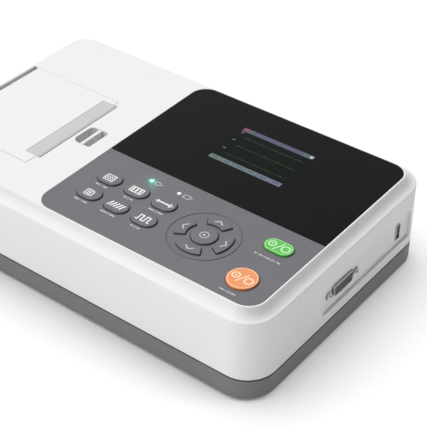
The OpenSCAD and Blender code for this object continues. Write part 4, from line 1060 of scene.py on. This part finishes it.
DIGITS = {
    1: [(-0.3, 0.55), (0.1, 0.9), (0.1, -0.9)],
    2: [(-0.5, 0.5), (-0.25, 0.88), (0.25, 0.88), (0.5, 0.5), (0.45, 0.15), (-0.5, -0.88), (0.55, -0.88)],
    3: [(-0.5, 0.88), (0.5, 0.88), (0.0, 0.12), (0.35, 0.0), (0.5, -0.4), (0.2, -0.85), (-0.25, -0.88),
        (-0.5, -0.6)],
    4: [(0.25, -0.9), (0.25, 0.9), (-0.55, -0.35), (0.6, -0.35)],
    5: [(0.45, 0.88), (-0.4, 0.88), (-0.45, 0.1), (0.15, 0.15), (0.5, -0.2), (0.45, -0.6), (0.1, -0.88),
        (-0.5, -0.75)],
    6: [(0.35, 0.88), (-0.2, 0.5), (-0.5, -0.1), (-0.45, -0.6), (0.0, -0.88), (0.45, -0.6), (0.4, -0.1),
        (0.0, 0.1), (-0.4, -0.1)],
}


def chevron(direction: float) -> Outline:
    """A bent stroke whose tip points along a direction in degrees.

    Args:
        direction: 0 points right, 90 away from the user.

    Returns:
        The stroke's outline.
    """
    a = math.radians(direction)
    turn = np.array([[math.cos(a), math.sin(a)], [-math.sin(a), math.cos(a)]])
    return line_mark(np.array([(-1.3, 3.4), (1.3, 0.0), (-1.3, -3.4)]) @ turn, 1.0)


def function_marks() -> list[list[Any]]:
    """Plain signs of the six function keys: grid, level, double arrow, page, slanted bars, square pulse.

    Returns:
        Each key's marks, in the keys' order.
    """
    grid = [frame_mark(8.8, 7.2, 0.8), *(dash(x, -3.2, x, 3.2, 0.7) for x in (-2.2, 0.0, 2.2)),
            *(dash(-4.0, y, 4.0, y, 0.7) for y in (-1.2, 1.2))]
    level = [frame_mark(11.0, 6.4, 0.9), *(dash(x, -2.0, x, 2.0, 1.4) for x in (-3.0, 0.0, 3.0))]
    arrow = [dash(-6.9, 0.0, 6.7, 0.0, 1.3), line_mark([(-5.0, 1.5), (-7.0, 0.0), (-5.0, -1.5)], 0.8),
             line_mark([(4.6, -1.9), (6.9, 0.0), (4.6, 1.9)], 1.1)]
    sheet = corners_rounded([(3.3, -3.0), (3.3, 1.3), (1.6, 3.0), (-3.3, 3.0), (-3.3, -3.0)], 0.3, 2)
    page = [(sheet, 0.8), *(dash(-2.1, y, 2.0, y, 0.75) for y in (-1.5, 0.0, 1.4))]
    bars = [dash(x - 1.0, -2.8, x + 1.0, 2.8, 1.2) for x in (-5.2, -2.6, 0.0, 2.6, 5.2)]
    pulse = [line_mark([
        (-6.0, -2.7), (-4.2, -2.7), (-4.2, 2.7), (-1.4, 2.7), (-1.4, -2.7), (1.4, -2.7), (1.4, 2.7),
        (4.2, 2.7), (4.2, -2.7), (6.0, -2.7),
    ], 0.95)]
    return [grid, level, arrow, page, bars, pulse]


def switch_marks(edge: Outline, reach: float, rings: Pair, drop: float, slash: Pair) -> list[Any]:
    """A ringed dot and an open ring either side of a slash, inside a thin pale line that follows the key's
    edge, a painted highlight of its rounded shoulder.

    Args:
        edge: the key's outline.
        reach: from the key's middle to each ring's.
        rings: their radii, left and right.
        drop: the right ring's height.
        slash: the upper end of the slash; its lower end lies opposite.

    Returns:
        The marks, round the key's middle.
    """
    x, y = slash
    return [ring_mark(rings[0], 1.1, -reach, 0.4), circle(0.8, -reach, 0.4, 20), dash(-x, -y, x, y, 1.0),
            # the last mark, the thin pale line inside the key's edge, is a painted highlight of the shoulder
            ring_mark(rings[1], 1.2, reach, drop), (Outline(edge.at(-1.45), edge.normals), 0.42)]


def label_rows() -> dict[Pair, list[Any]]:
    """Small signs printed on the fascia, by their place on the panel.

    Returns:
        Each row's marks, by the place that they are drawn round.
    """

    def level(width: float, *spans: Pair) -> list[Any]:
        """Level dashes on the row's middle."""
        return [dash(a, 0.0, b, 0.0, width) for a, b in spans]

    arrowhead = corners_rounded([(-10.2, -1.0), (-8.1, 0.0), (-10.2, 1.0)], 0.1, 2)
    return {
        (55.5, 67.8): [ring_mark(1.9, 0.7), dash(2.6, -0.9, 4.4, 0.9, 0.6)],
        (82.2, 68.0): [frame_mark(5.4, 4.4, 0.6, -0.6), *level(0.6, (2.0, 4.8)),
                       *(dash(-4.6, y, -3.2, y, 0.6) for y in (-0.9, 0.9))],
        (164.5, 47.9): [arrowhead, *level(1.1, (-7.2, -3.6), (-1.0, 2.2), (7.4, 10.2)),
                        *(dash(x, -0.9, x, 0.9, 0.45) for x in (-2.7, -1.8)),
                        ring_mark(0.85, 0.45, 3.9), dash(5.3, -0.9, 6.4, 0.9, 0.45)],
        (163.6, 5.4): [dash(-6.2, -0.9, -6.2, 0.9, 0.5), *level(1.1, (-5.3, -2.4), (3.0, 6.4)),
                       dash(-1.5, -0.9, -0.5, 0.9, 0.45), ring_mark(0.85, 0.45, 1.3)],
    }


@dataclass
class Picture:
    """The display's lit picture: a grid whose points carry the colours of a sum of soft-edged bands."""

    left: float = 62.0
    right: float = 125.0
    near: float = 116.5
    far: float = 164.0
    columns: int = 253
    rows: int = 191
    soft: float = 0.12
    ground: Colour = (0.0002, 0.0032, 0.0016)
    trace: Colour = (0.052, 0.098, 0.032)
    period: float = 11.5
    waves: tuple[Point, ...] = (
        (0.9, 0.20, 0.035), (-0.9, 0.36, 0.012), (6.0, 0.40, 0.014), (-1.6, 0.44, 0.014), (1.5, 0.66, 0.06),
    )

    def blocks(self) -> list[tuple]:
        """Plain blocks: left, right, softness of these edges, near, far, colour.

        Returns:
            The blocks, in the order in which they are painted.
        """
        soft = self.soft
        made = [
            (0.0, 200.0, soft, 158.2, 163.0, (0.118, 0.118, 0.185)),
            (62.8, 67.4, 0.9, 158.5, 162.9, (0.31, 0.10, 0.13)),
            (67.8, 71.6, 0.8, 158.5, 162.7, (0.10, 0.17, 0.13)),
            (115.4, 121.2, 0.5, 158.5, 162.7, (0.12, 0.17, 0.15)),
            (0.0, 200.0, soft, 116.6, 121.4, (0.10, 0.13, 0.14)),
        ]
        made += [(77.0 + 7 * i, 81.4 + 7 * i, soft, 160.0, 161.0, (0.16, 0.16, 0.24)) for i in range(5)]
        for i in range(6):
            step, x = i / 5, 10.5 * i
            colour = (0.175 + 0.02 * step, 0.245 - 0.02 * step, 0.225 + 0.09 * step)
            made.append((62.5 + x, 72.3 + x, soft, 116.9, 121.1, colour))
            made.append((64.4 + x, 70.2 + x, soft, 118.4, 119.6, (0.075, 0.095, 0.12)))
        for x, y in ((64.5, 145.0), (65.2, 132.5), (64.2, 156.4)):
            made.append((x - 1.3, x + 1.3, soft, y - 0.7, y + 0.7, (0.17, 0.19, 0.18)))
        return made

    def colours(self, x: Array, y: Array) -> Array:
        """The colour of every point.

        Over the blocks lie a round dot and three traces that follow a resting beat, the sum of five
        bell curves in each period.

        Args:
            x, y: the grid's places on the panel.

        Returns:
            Red, green and blue at each place.
        """
        tint = np.zeros((*x.shape, 3)) + np.array(self.ground)

        def within(value: Array, low: Any, high: Any, soft: float = self.soft) -> Array:
            """1 between two limits, falling to 0 over a soft edge."""
            return np.clip((value - low) / soft, 0, 1) * np.clip((high - value) / soft, 0, 1)

        def paint(mask: Array, colour: Point) -> None:
            """Lays a colour over the picture where the mask is 1."""
            tint[...] = tint * (1 - mask[..., None]) + mask[..., None] * np.asarray(colour)

        for left, right, soft, near, far, colour in self.blocks():
            paint(within(y, near, far) * within(x, left, right, soft), colour)
        paint(within(np.hypot(x - 122.9, y - 160.8), -1, 1.5, 0.4), (0.72, 0.78, 0.78))
        phase = np.mod((x - 68.0) / self.period, 1.0)
        beat = sum(height * np.exp(-((phase - at) / width) ** 2) for height, at, width in self.waves)
        slope = np.abs(np.gradient(beat, axis=1)) / np.gradient(x, axis=1)
        for level, scale in ((151.6, 0.8), (139.8, 1.0), (127.2, 0.7)):
            width = 0.26 + 0.06 * scale * slope
            line = within(y - level - scale * beat * 0.3, -width, width)
            paint(line * within(x, 67.6, 124.0, 4.0) * 0.8, self.trace)
        return tint

    def build(self, panel: "Panel") -> None:
        """Lays the grid just over the panel's glass.

        Args:
            panel: the panel that it belongs to.
        """
        across = np.linspace(self.left, self.right, self.columns)
        x, y = np.meshgrid(across, np.linspace(self.near, self.far, self.rows))
        level = np.full_like(x, panel.deck + 0.02)
        verts = np.stack([x + panel.x, y + panel.y, level], 2).reshape(-1, 3) * MM
        index = np.arange(x.size).reshape(x.shape)
        quads = np.stack([index[:-1, :-1], index[:-1, 1:], index[1:, 1:], index[1:, :-1]], 2).reshape(-1, 4)
        mesh = bpy.data.meshes.new("display_picture")
        mesh.from_pydata(verts, [], quads.tolist())
        layer = mesh.attributes.new("tint", "FLOAT_COLOR", "POINT")
        rgba = np.concatenate([self.colours(x, y).reshape(-1, 3), np.ones((x.size, 1))], 1)
        layer.data.foreach_set("color", rgba.ravel().astype(np.float32))
        mesh.update()
        place(linked("display_picture", mesh), "case", "picture")


@dataclass
class Panel:
    """Key fascia, display glass, picture, lights, keys and their printed marks."""

    x: float = -31.0
    y: float = -95.4
    deck: float = DECK
    under: float = PANEL_UNDER
    keys_y: float = 40.9
    key_top: float = 76.55
    gap: float = 0.32
    arrows: Pair = (117.9, 40.9)
    lights_y: float = 68.2
    ready_x: float = 49.9
    mains_x: float = 74.5
    light_radius: float = 1.6
    plate_left: float = -30.8
    plate_right: float = 156.8
    plate_end: float = 95.2
    plate_round: float = 13.1
    joint: float = -14.2
    joint_gap: float = 0.03
    groove: float = 25.4
    key_foot: float = 72.1
    key_shelf: float = 73.1
    key_round: float = 0.55

    def world(self, x: float, y: float) -> Pair:
        """A place on the panel in the part's frame."""
        return self.x + x, self.y + y

    def function_key(self, i: int) -> Pair:
        """Where a function key stands on the panel: three in a row, two rows."""
        return 25.3 + 24.6 * (i % 3), self.keys_y + (10.85 if i < 3 else -10.85)

    def styles(self) -> list[KeyStyle]:
        """Every key with its marks.

        Returns:
            The thirteen keys.
        """
        oval, pill = rectangle(20.0, 14.0, 7.0, 12), rectangle(22.6, 14.2, 7.1, 12)
        disc = circle(11.2, count=64)
        made = [
            KeyStyle(f"fn_key_{i + 1}", self.function_key(i), oval, "key_grey", marks, "print_white")
            for i, marks in enumerate(function_marks())
        ]
        for i, name in enumerate(("arrow_right", "arrow_up", "arrow_left", "arrow_down")):
            a = math.radians(90 * i)
            middle = (16.8 * math.cos(a), 16.8 * math.sin(a))
            sector = ring_sector(12.6, 21.0, 62.0, 90.0 * i, 1.3)
            marks, flange = [chevron(90 * i).moved(*middle)], self.gap * 2
            made.append(KeyStyle(name, self.arrows, sector, "key_grey", marks, "print_pale", flange, middle))
        marks = [ring_mark(3.1, 0.75), circle(1.0, 0, 0, 20)]
        made.append(KeyStyle("ok_key", self.arrows, circle(9.7), "key_grey", marks, "print_pale"))
        for name, side, edge, marks, colour in (
            ("start_key", 1, pill, switch_marks(pill, 5.4, (2.5, 2.9), 0.0, (2.2, 4.6)), "green"),
            ("power_key", -1, disc, switch_marks(disc, 5.2, (2.6, 2.8), -0.3, (2.3, 4.9)), "orange"),
        ):
            at = (164.4, self.keys_y + 20.2 * side)
            made.append(KeyStyle(name, at, edge, f"key_{colour}", marks, f"print_{colour}"))
        return made

    @staticmethod
    def ink(solid: Solid, marks: Sequence[Any], x: float, y: float, level: float) -> None:
        """Adds marks as a thin print that lies on a level.

        Args:
            solid: the print that gets the marks.
            marks: outlines, which are filled, and pairs of a closed line and its stroke's width.
            x, y: the place that they are drawn round.
            level: the height that they lie on.
        """
        low, high = level - 0.05, level + 0.03
        for mark in marks:
            if isinstance(mark, tuple):
                line, h = mark[0], mark[1] / 2
                solid.sweep(line.moved(x, y), band(-h, h, low, high), closed=True)
            else:
                solid.sweep(mark.moved(x, y), [(0, low), (0, high)])

    def key(self, style: KeyStyle) -> None:
        """Makes one key: flange, neck, rounded shoulder, faintly domed top, stem and marks.

        Args:
            style: the key.
        """
        cx, cy = self.world(*style.at)
        neck, top, r = -self.gap, self.key_top, self.key_round
        wide, shelf = style.flange + neck, self.key_shelf
        skirt = [(wide, self.key_foot), (wide, shelf), (neck, shelf)]
        cos, sin = bend(0, 80, 5)
        shoulder = np.stack([neck - r * (1 - cos), top - 0.08 - r * (1 - sin)], 1)
        profile = np.concatenate([skirt, shoulder, [(neck - 0.85, top - 0.03)]])
        cap, marks = Solid().sweep(style.outline.moved(cx, cy), profile), Solid()
        sx, sy = cx + style.stem[0], cy + style.stem[1]
        cap.rod(2.0, (sx, sy, 69.1), (sx, sy, 72.4), 0.3)
        self.ink(marks, style.marks, cx, cy, top - 0.025)
        place(show(f"{style.name}_cap", cap), style.name, style.finish, nodes=[style.name])
        place(show(f"{style.name}_mark", marks), style.name, style.ink)

    def plate(self, name: str, near: float, far: float, radii: Point) -> bpy.types.Object:
        """Shows a flat plate of the panel's width with a thin rounded edge.

        Args:
            name: the object's name.
            near, far: where its near and far edges lie.
            radii: of its near right, far right, far left and near left corners.

        Returns:
            The plate's object.
        """
        left, right = self.plate_left, self.plate_right
        corners = [(right, near), (right, far), (left, far), (left, near)]
        profile = rounded_top(self.under, self.deck, 0.15, 3)
        return show(name, Solid().sweep(corners_rounded(corners, radii, 12), profile))

    def fascia(self, styles: Sequence[KeyStyle]) -> None:
        """Makes the grey plate with a rounded hole for every key and light, and the round groove.

        Args:
            styles: the keys that stand in its holes.
        """
        r = self.plate_round
        body = self.plate("key_fascia", -self.plate_end, self.joint - self.joint_gap, (r, 0.05, 0.05, r))
        cutter = Solid()
        for style in styles:
            line = style.outline.moved(*self.world(*style.at))
            cutter.sweep(line, flare(3.0, 0.3, 4), base=(0, 0, self.deck))
        for x in (self.ready_x, self.mains_x):
            line = circle(self.light_radius + 0.02, *self.world(x, self.lights_y), count=32)
            cutter.sweep(line, flare(3.0, 0.2, 3), base=(0, 0, self.deck))
        a = np.linspace(0, 2 * np.pi, 12, endpoint=False)
        groove = np.stack([0.5 * np.cos(a), self.deck + 0.5 * np.sin(a)], 1)
        cutter.sweep(circle(self.groove, *self.world(*self.arrows), count=96), groove, closed=True)
        carve(body, cutter)
        even_shading(body)
        place(body, "case", "fascia_grey", nodes=["keypad_fascia"])

    def glass(self) -> None:
        """Makes the black window."""
        r = self.plate_round
        body = self.plate("display_glass", self.joint + self.joint_gap, self.plate_end, (0.05, r, r, 0.05))
        place(body, "case", "display_black", nodes=["display_window"])

    def lights(self) -> None:
        """Makes the two domed lenses, and a glowing ring printed round the green one: painted glow of its
        light on the fascia.

        A dome's height is 0.42 * sin a where its radius has shrunk by its whole times (1 - cos a).
        """
        cos, sin = bend(0, 84, 6)
        r = self.light_radius
        dome = np.stack([-r * (1 - cos), self.deck - 0.02 + 0.42 * sin], 1)
        profile = np.concatenate([[(1.0, 64.0), (1.0, 73.0), (-0.02, 73.0)], dome])
        for x, name, finish in (
            (self.ready_x, "ready_light", "light_green"), (self.mains_x, "mains_light", "light_white"),
        ):
            lens = Solid().sweep(circle(r, *self.world(x, self.lights_y), count=32), profile)
            place(show(f"{name}_lens", lens, 50), "case", finish, nodes=[name])
        # glowing printed ring round the green lens: painted glow of its light on the fascia
        glow_ring = Solid()
        self.ink(glow_ring, [ring_mark(2.3, 1.2)], *self.world(self.ready_x, self.lights_y), self.deck)
        place(show("ready_light_painted_glow", glow_ring), "case", "painted_glow_green")

    def labels(self) -> None:
        """Makes the fascia's print: a number between dashes under each function key, and small signs."""
        made = Solid()
        for i, reach in enumerate((5.2, 3.9, 6.0, 5.8, 6.4, 3.9)):
            x, y = self.function_key(i)
            marks = [line_mark(DIGITS[i + 1], 0.42)]
            marks += [dash(a, 0.0, b, 0.0, 1.3) for a, b in ((-reach, -1.5), (1.5, reach))]
            self.ink(made, marks, *self.world(x, y - 9.6), self.deck)
        for spot, marks in label_rows().items():
            self.ink(made, marks, *self.world(*spot), self.deck)
        place(show("fascia_print", made), "case", "print_pale")

    def build(self) -> None:
        """Makes the whole panel."""
        styles = self.styles()
        self.fascia(styles)
        self.glass()
        Picture().build(self)
        self.lights()
        self.labels()
        for style in styles:
            self.key(style)


# ---------------------------------------------------------------- printer


@dataclass
class TearBar:
    """The grey bar at the lid's free edge, with its row of small teeth."""

    left: float = -77.8
    right: float = -64.3
    near: float = -54.55
    length: float = 85.5
    low: float = 73.7
    high: float = 75.3
    teeth: int = 57
    tooth: float = 0.5
    edge_round: float = 0.35

    def build(self) -> None:
        """Makes the bar.

        A cross-section is carried along Y. Its tooth edge lies at right - tooth * t, where t is the
        distance from the nearest tooth's tip as a share of half a pitch, and the last 1.6 mm before
        that edge slope down by 0.45 mm.
        """
        stations = np.linspace(0, 1, 4 * self.teeth + 1)
        tip = np.abs(np.mod(stations * self.teeth, 1.0) - 0.5) * 2
        edge = self.right - self.tooth * tip
        r = self.edge_round
        cos, sin = bend(180, 90, 4)
        rows = [
            (self.left + 0.1, self.low), *zip(self.left + r + r * cos, self.high - r + r * sin),
            (self.right - 2.2, self.high), (self.right - 1.6, self.high - 0.05),
            (edge, self.high - 0.5), (edge - 0.03, self.high - 0.75), (self.right - 0.9, self.low),
        ]
        grid = np.zeros((len(stations), len(rows), 3))
        for column, (across, height) in enumerate(rows):
            grid[:, column, 0], grid[:, column, 2] = across, height
        grid[:, :, 1] = (self.near + self.length * stations)[:, None]
        place(show("tear_bar_blade", Solid().loft(grid)), "lid", "bar_grey", nodes=["tear_bar"])


# ---------------------------------------------------------------- connectors


@dataclass
class DSocket:
    """The patient connector: D-shaped metal shell, black face with fifteen holes, two hex jack screws."""

    y: float = SOCKET[0]
    z: float = SOCKET[1]
    front: float = 166.7
    width: float = 25.0
    height: float = 8.4
    slant: float = 1.6

    def shape(self, shrink: float, corner: float) -> Outline:
        """The D outline in the right wall's plane, drawn in by shrink.

        Args:
            shrink: how far it is drawn in.
            corner: radius of its corners.

        Returns:
            The outline.
        """
        w, h = self.width / 2 - shrink, self.height / 2 - shrink
        s = self.slant
        points = [(-w + s, -h), (w - s, -h), (w, h), (-w, h)]
        return corners_rounded(points, corner, 6).moved(self.y, self.z)

    def shell(self) -> Solid:
        """The metal shell: the D-shaped wall and its flange.

        Returns:
            Both, as one solid.
        """
        base = (self.front, 0, 0)
        lip = [(0.0, -0.35), (-0.1, -0.1), (-0.25, 0.0), (-0.4, -0.1), (-0.5, -0.35)]
        wall = [(-0.5, -4.4), (0.0, -4.4), *lip]
        made = Solid().sweep(self.shape(0.0, 1.9), wall, Facing.RIGHT, base, closed=True)
        flange = rectangle(39.14, 12.5, 1.5, 5, self.y, self.z)
        return made.sweep(flange, [(0, -4.4), (0, -3.4)], Facing.RIGHT, base)

    def face(self) -> bpy.types.Object:
        """The insert, with its two rows of eight and seven holes.

        Returns:
            The insert's object.
        """
        base = (self.front, 0, 0)
        made = Solid().sweep(self.shape(0.55, 1.4), rounded_top(-4.4, -0.5, 0.2, 3), Facing.RIGHT, base)
        back = rectangle(27.0, 12.5, 1.0, 3, self.y, self.z)
        made.sweep(back, [(0, -14.4), (0, -4.45)], Facing.RIGHT, base)
        body = show("connector_face", made)
        holes = Solid()
        for row in (0, 1):
            for i in range(8 - row):
                spot = (self.y - 9.6 + 1.37 * row + 2.74 * i, self.z + 1.42 - 2.84 * row)
                line = circle(0.55, *spot, count=16)
                holes.sweep(line, flare(3.0, 0.15, 2), Facing.RIGHT, (self.front - 0.5, 0, 0))
        carve(body, holes)
        even_shading(body)
        return body

    def screws(self) -> Solid:
        """The hex jack screws.

        A hexagon's reach at an angle is its inner radius over the cosine of the angle from the nearest
        side's middle.

        Returns:
            Both screws, as one solid.
        """
        made = Solid()
        angle = np.radians(np.arange(0, 360, 7.5))
        cos, sin = np.cos(angle), np.sin(angle)
        hexagon = 2.75 * math.cos(math.pi / 6) / np.cos(np.mod(angle, math.pi / 3) - math.pi / 6)
        hole = np.full_like(hexagon, 1.2)
        steps = ((hexagon, -3.4), (hexagon, -0.45), (hexagon * 0.90, -0.2), (hole, -0.2), (hole, -3.0))
        for side in (-1, 1):
            y = self.y + side * SOCKET_PITCH / 2
            rings = [(np.full_like(r, self.front + out), y + r * cos, self.z + r * sin) for r, out in steps]
            made.loft(np.array(rings).transpose(0, 2, 1))
            made.rod(1.5, (self.front - 11.4, y, self.z), (self.front - 3.4, y, self.z), 0.2)
        return made

    def build(self) -> None:
        """Makes the shell, the face and the jack screws."""
        place(show("connector_shell", self.shell()), "case", "steel", nodes=["patient_shell"])
        place(self.face(), "case", "black_plastic", nodes=["patient_insert"])
        place(show("jack_screw_pair", self.screws()), "case", "zinc_steel", nodes=["jack_screws"])


@dataclass
class SmallPort:
    """The upright port near the rear of the recess."""

    y: float = PORT[0]
    z: float = PORT[1]
    front: float = 165.5

    def build(self) -> None:
        """Makes the port's folded metal shell, and the grey dust flap beside its tongue."""
        x, y, z = self.front, self.y, self.z
        wall = [(-0.4, -13.6), (0, -13.6), (0, -0.2), (-0.1, 0.0), (-0.3, 0.0), (-0.4, -0.2)]
        made = Solid().sweep(rectangle(5.8, 13.2, 0.8, 5, y, z), wall, Facing.RIGHT, (x, 0, 0), closed=True)
        made.sweep(rectangle(5.6, 13.0, 0.7, 4, y, z), [(0, -14.0), (0, -13.0)], Facing.RIGHT, (x, 0, 0))
        flap = Solid().box((x - 1.9, y - 2.4, z - 6.1), (x - 1.3, y + 0.2, z + 6.1), 0.15)
        place(show("small_port_shell", made), "case", "steel", nodes=["port_shell"])
        place(show("small_port_flap", flap), "case", "frame_plastic")


# ---------------------------------------------------------------- the rest


def dress_nodes() -> None:
    """Gives every CAD node that still shows the finish of its own slot."""
    for name, node in sorted(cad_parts.items()):
        if node.hide_render:
            continue
        for held in node.material_slots:
            held.material = material(OTHER_FINISH.get(name, held.material.name.split(".")[0]))
        LOG.info("%s keeps its CAD shape", name)


@dataclass(frozen=True)
class SoftBox:
    """A soft patch of sky: where it stands, the cosine at which it starts to fade in, and its power."""

    aim: Triple
    edge: float
    power: float


@dataclass
class Studio:
    """Floor, soft light and the camera of the photograph."""

    lens: float = 109.37
    sensor: float = 36.0
    spot: Triple = (0.5044, -0.5890, 0.6121)
    azimuth: float = 37.485
    elevation: float = 37.352
    roll: float = 0.123
    boxes: tuple[SoftBox, ...] = (
        SoftBox((-0.51, -0.24, 0.83), 0.50, 1.60),
        SoftBox((-0.35, -0.85, 0.40), 0.40, 0.48),
        SoftBox((-0.30, 0.60, 0.74), 0.50, 1.00),
    )
    box_full: float = 0.96
    ambient: float = 0.02
    backdrop: float = 0.97
    floor_lamp: Triple = (0.80, 0.30, 0.52)
    floor_power: float = 2.2
    glow_at: Triple = (0.0189, -0.0272, 0.0788)
    glow_colour: Colour = (0.16, 1.0, 0.66)
    glow_power: float = 0.0007

    def camera(self) -> None:
        """Stands the camera where the photograph was taken from."""
        az, el, roll = (math.radians(v) for v in (self.azimuth, self.elevation, self.roll))
        back = Vector((math.sin(az) * math.cos(el), -math.cos(az) * math.cos(el), math.sin(el)))
        right = Vector((math.cos(az), math.sin(az), 0.0))
        side = right * math.cos(roll) + back.cross(right) * math.sin(roll)
        data = bpy.data.cameras.new("camera")
        data.lens, data.sensor_width, data.clip_end = self.lens, self.sensor, 50.0
        eye = linked("camera", data)
        turn = Matrix((side, back.cross(side), back)).transposed()
        eye.matrix_world = Matrix.Translation(self.spot) @ turn.to_4x4()
        bpy.context.scene.camera = eye

    def floor(self) -> None:
        """Lays the pale floor, with a low wide lamp from the right that lights the floor alone."""
        piece = show("floor", Solid().sweep(rectangle(14000, 14000, 100, 4), [(0, -5.0), (0, 0.0)]))
        dress(piece, "floor")
        data = bpy.data.lights.new("floor_lamp", "SUN")
        data.energy, data.angle = self.floor_power, math.radians(60)
        lamp = linked("floor_lamp", data)
        lamp.matrix_world = Vector(self.floor_lamp).to_track_quat("Z", "Y").to_matrix().to_4x4()
        lit = bpy.data.collections.new("floor_alone")
        lit.objects.link(piece)
        lamp.light_linking.receiver_collection = lit

    def sky(self) -> None:
        """Soft studio light from three soft boxes; the camera sees a plain pale backdrop instead."""
        world = bpy.data.worlds.new("studio")
        bpy.context.scene.world = world
        s = Nodes(world)
        way = s.add("TexCoord").outputs["Generated"]
        total: Any = self.ambient
        for box in self.boxes:
            aim = {0: way, 1: Vector(box.aim).normalized()}
            near = s.add("VectorMath", aim, operation="DOT_PRODUCT").outputs["Value"]
            total = s.maths("ADD", total, s.ramp(near, box.edge, self.box_full, 0.0, box.power))
        glow = s.add("Background", {0: (1.0, 1.0, 1.0, 1.0), 1: total}).outputs[0]
        plain = s.add("Background", {0: (*[self.backdrop] * 3, 1.0)}).outputs[0]
        seen = s.add("LightPath").outputs["Is Camera Ray"]
        mix = s.add("MixShader", {0: seen, 1: glow, 2: plain}).outputs[0]
        s.add("OutputWorld", {0: mix})

    def glow(self) -> None:
        """A point of green light over the ready light, for the glow on the fascia round it."""
        data = bpy.data.lights.new("ready_glow", "POINT")
        data.color, data.energy, data.shadow_soft_size = self.glow_colour, self.glow_power, 0.002
        linked("ready_glow", data).location = self.glow_at

    def build(self) -> None:
        """Makes the studio."""
        self.camera()
        self.floor()
        self.sky()
        self.glow()
        bpy.context.scene.view_settings.view_transform = "Standard"


def main() -> None:
    """Builds every sub-assembly in order."""
    logging.basicConfig(level=logging.INFO, format="%(name)s: %(message)s", stream=sys.stdout)
    Studio().build()
    Case().build()
    Latch().build()
    Panel().build()
    TearBar().build()
    DSocket().build()
    SmallPort().build()
    dress_nodes()


if __name__ == "__main__":
    main()
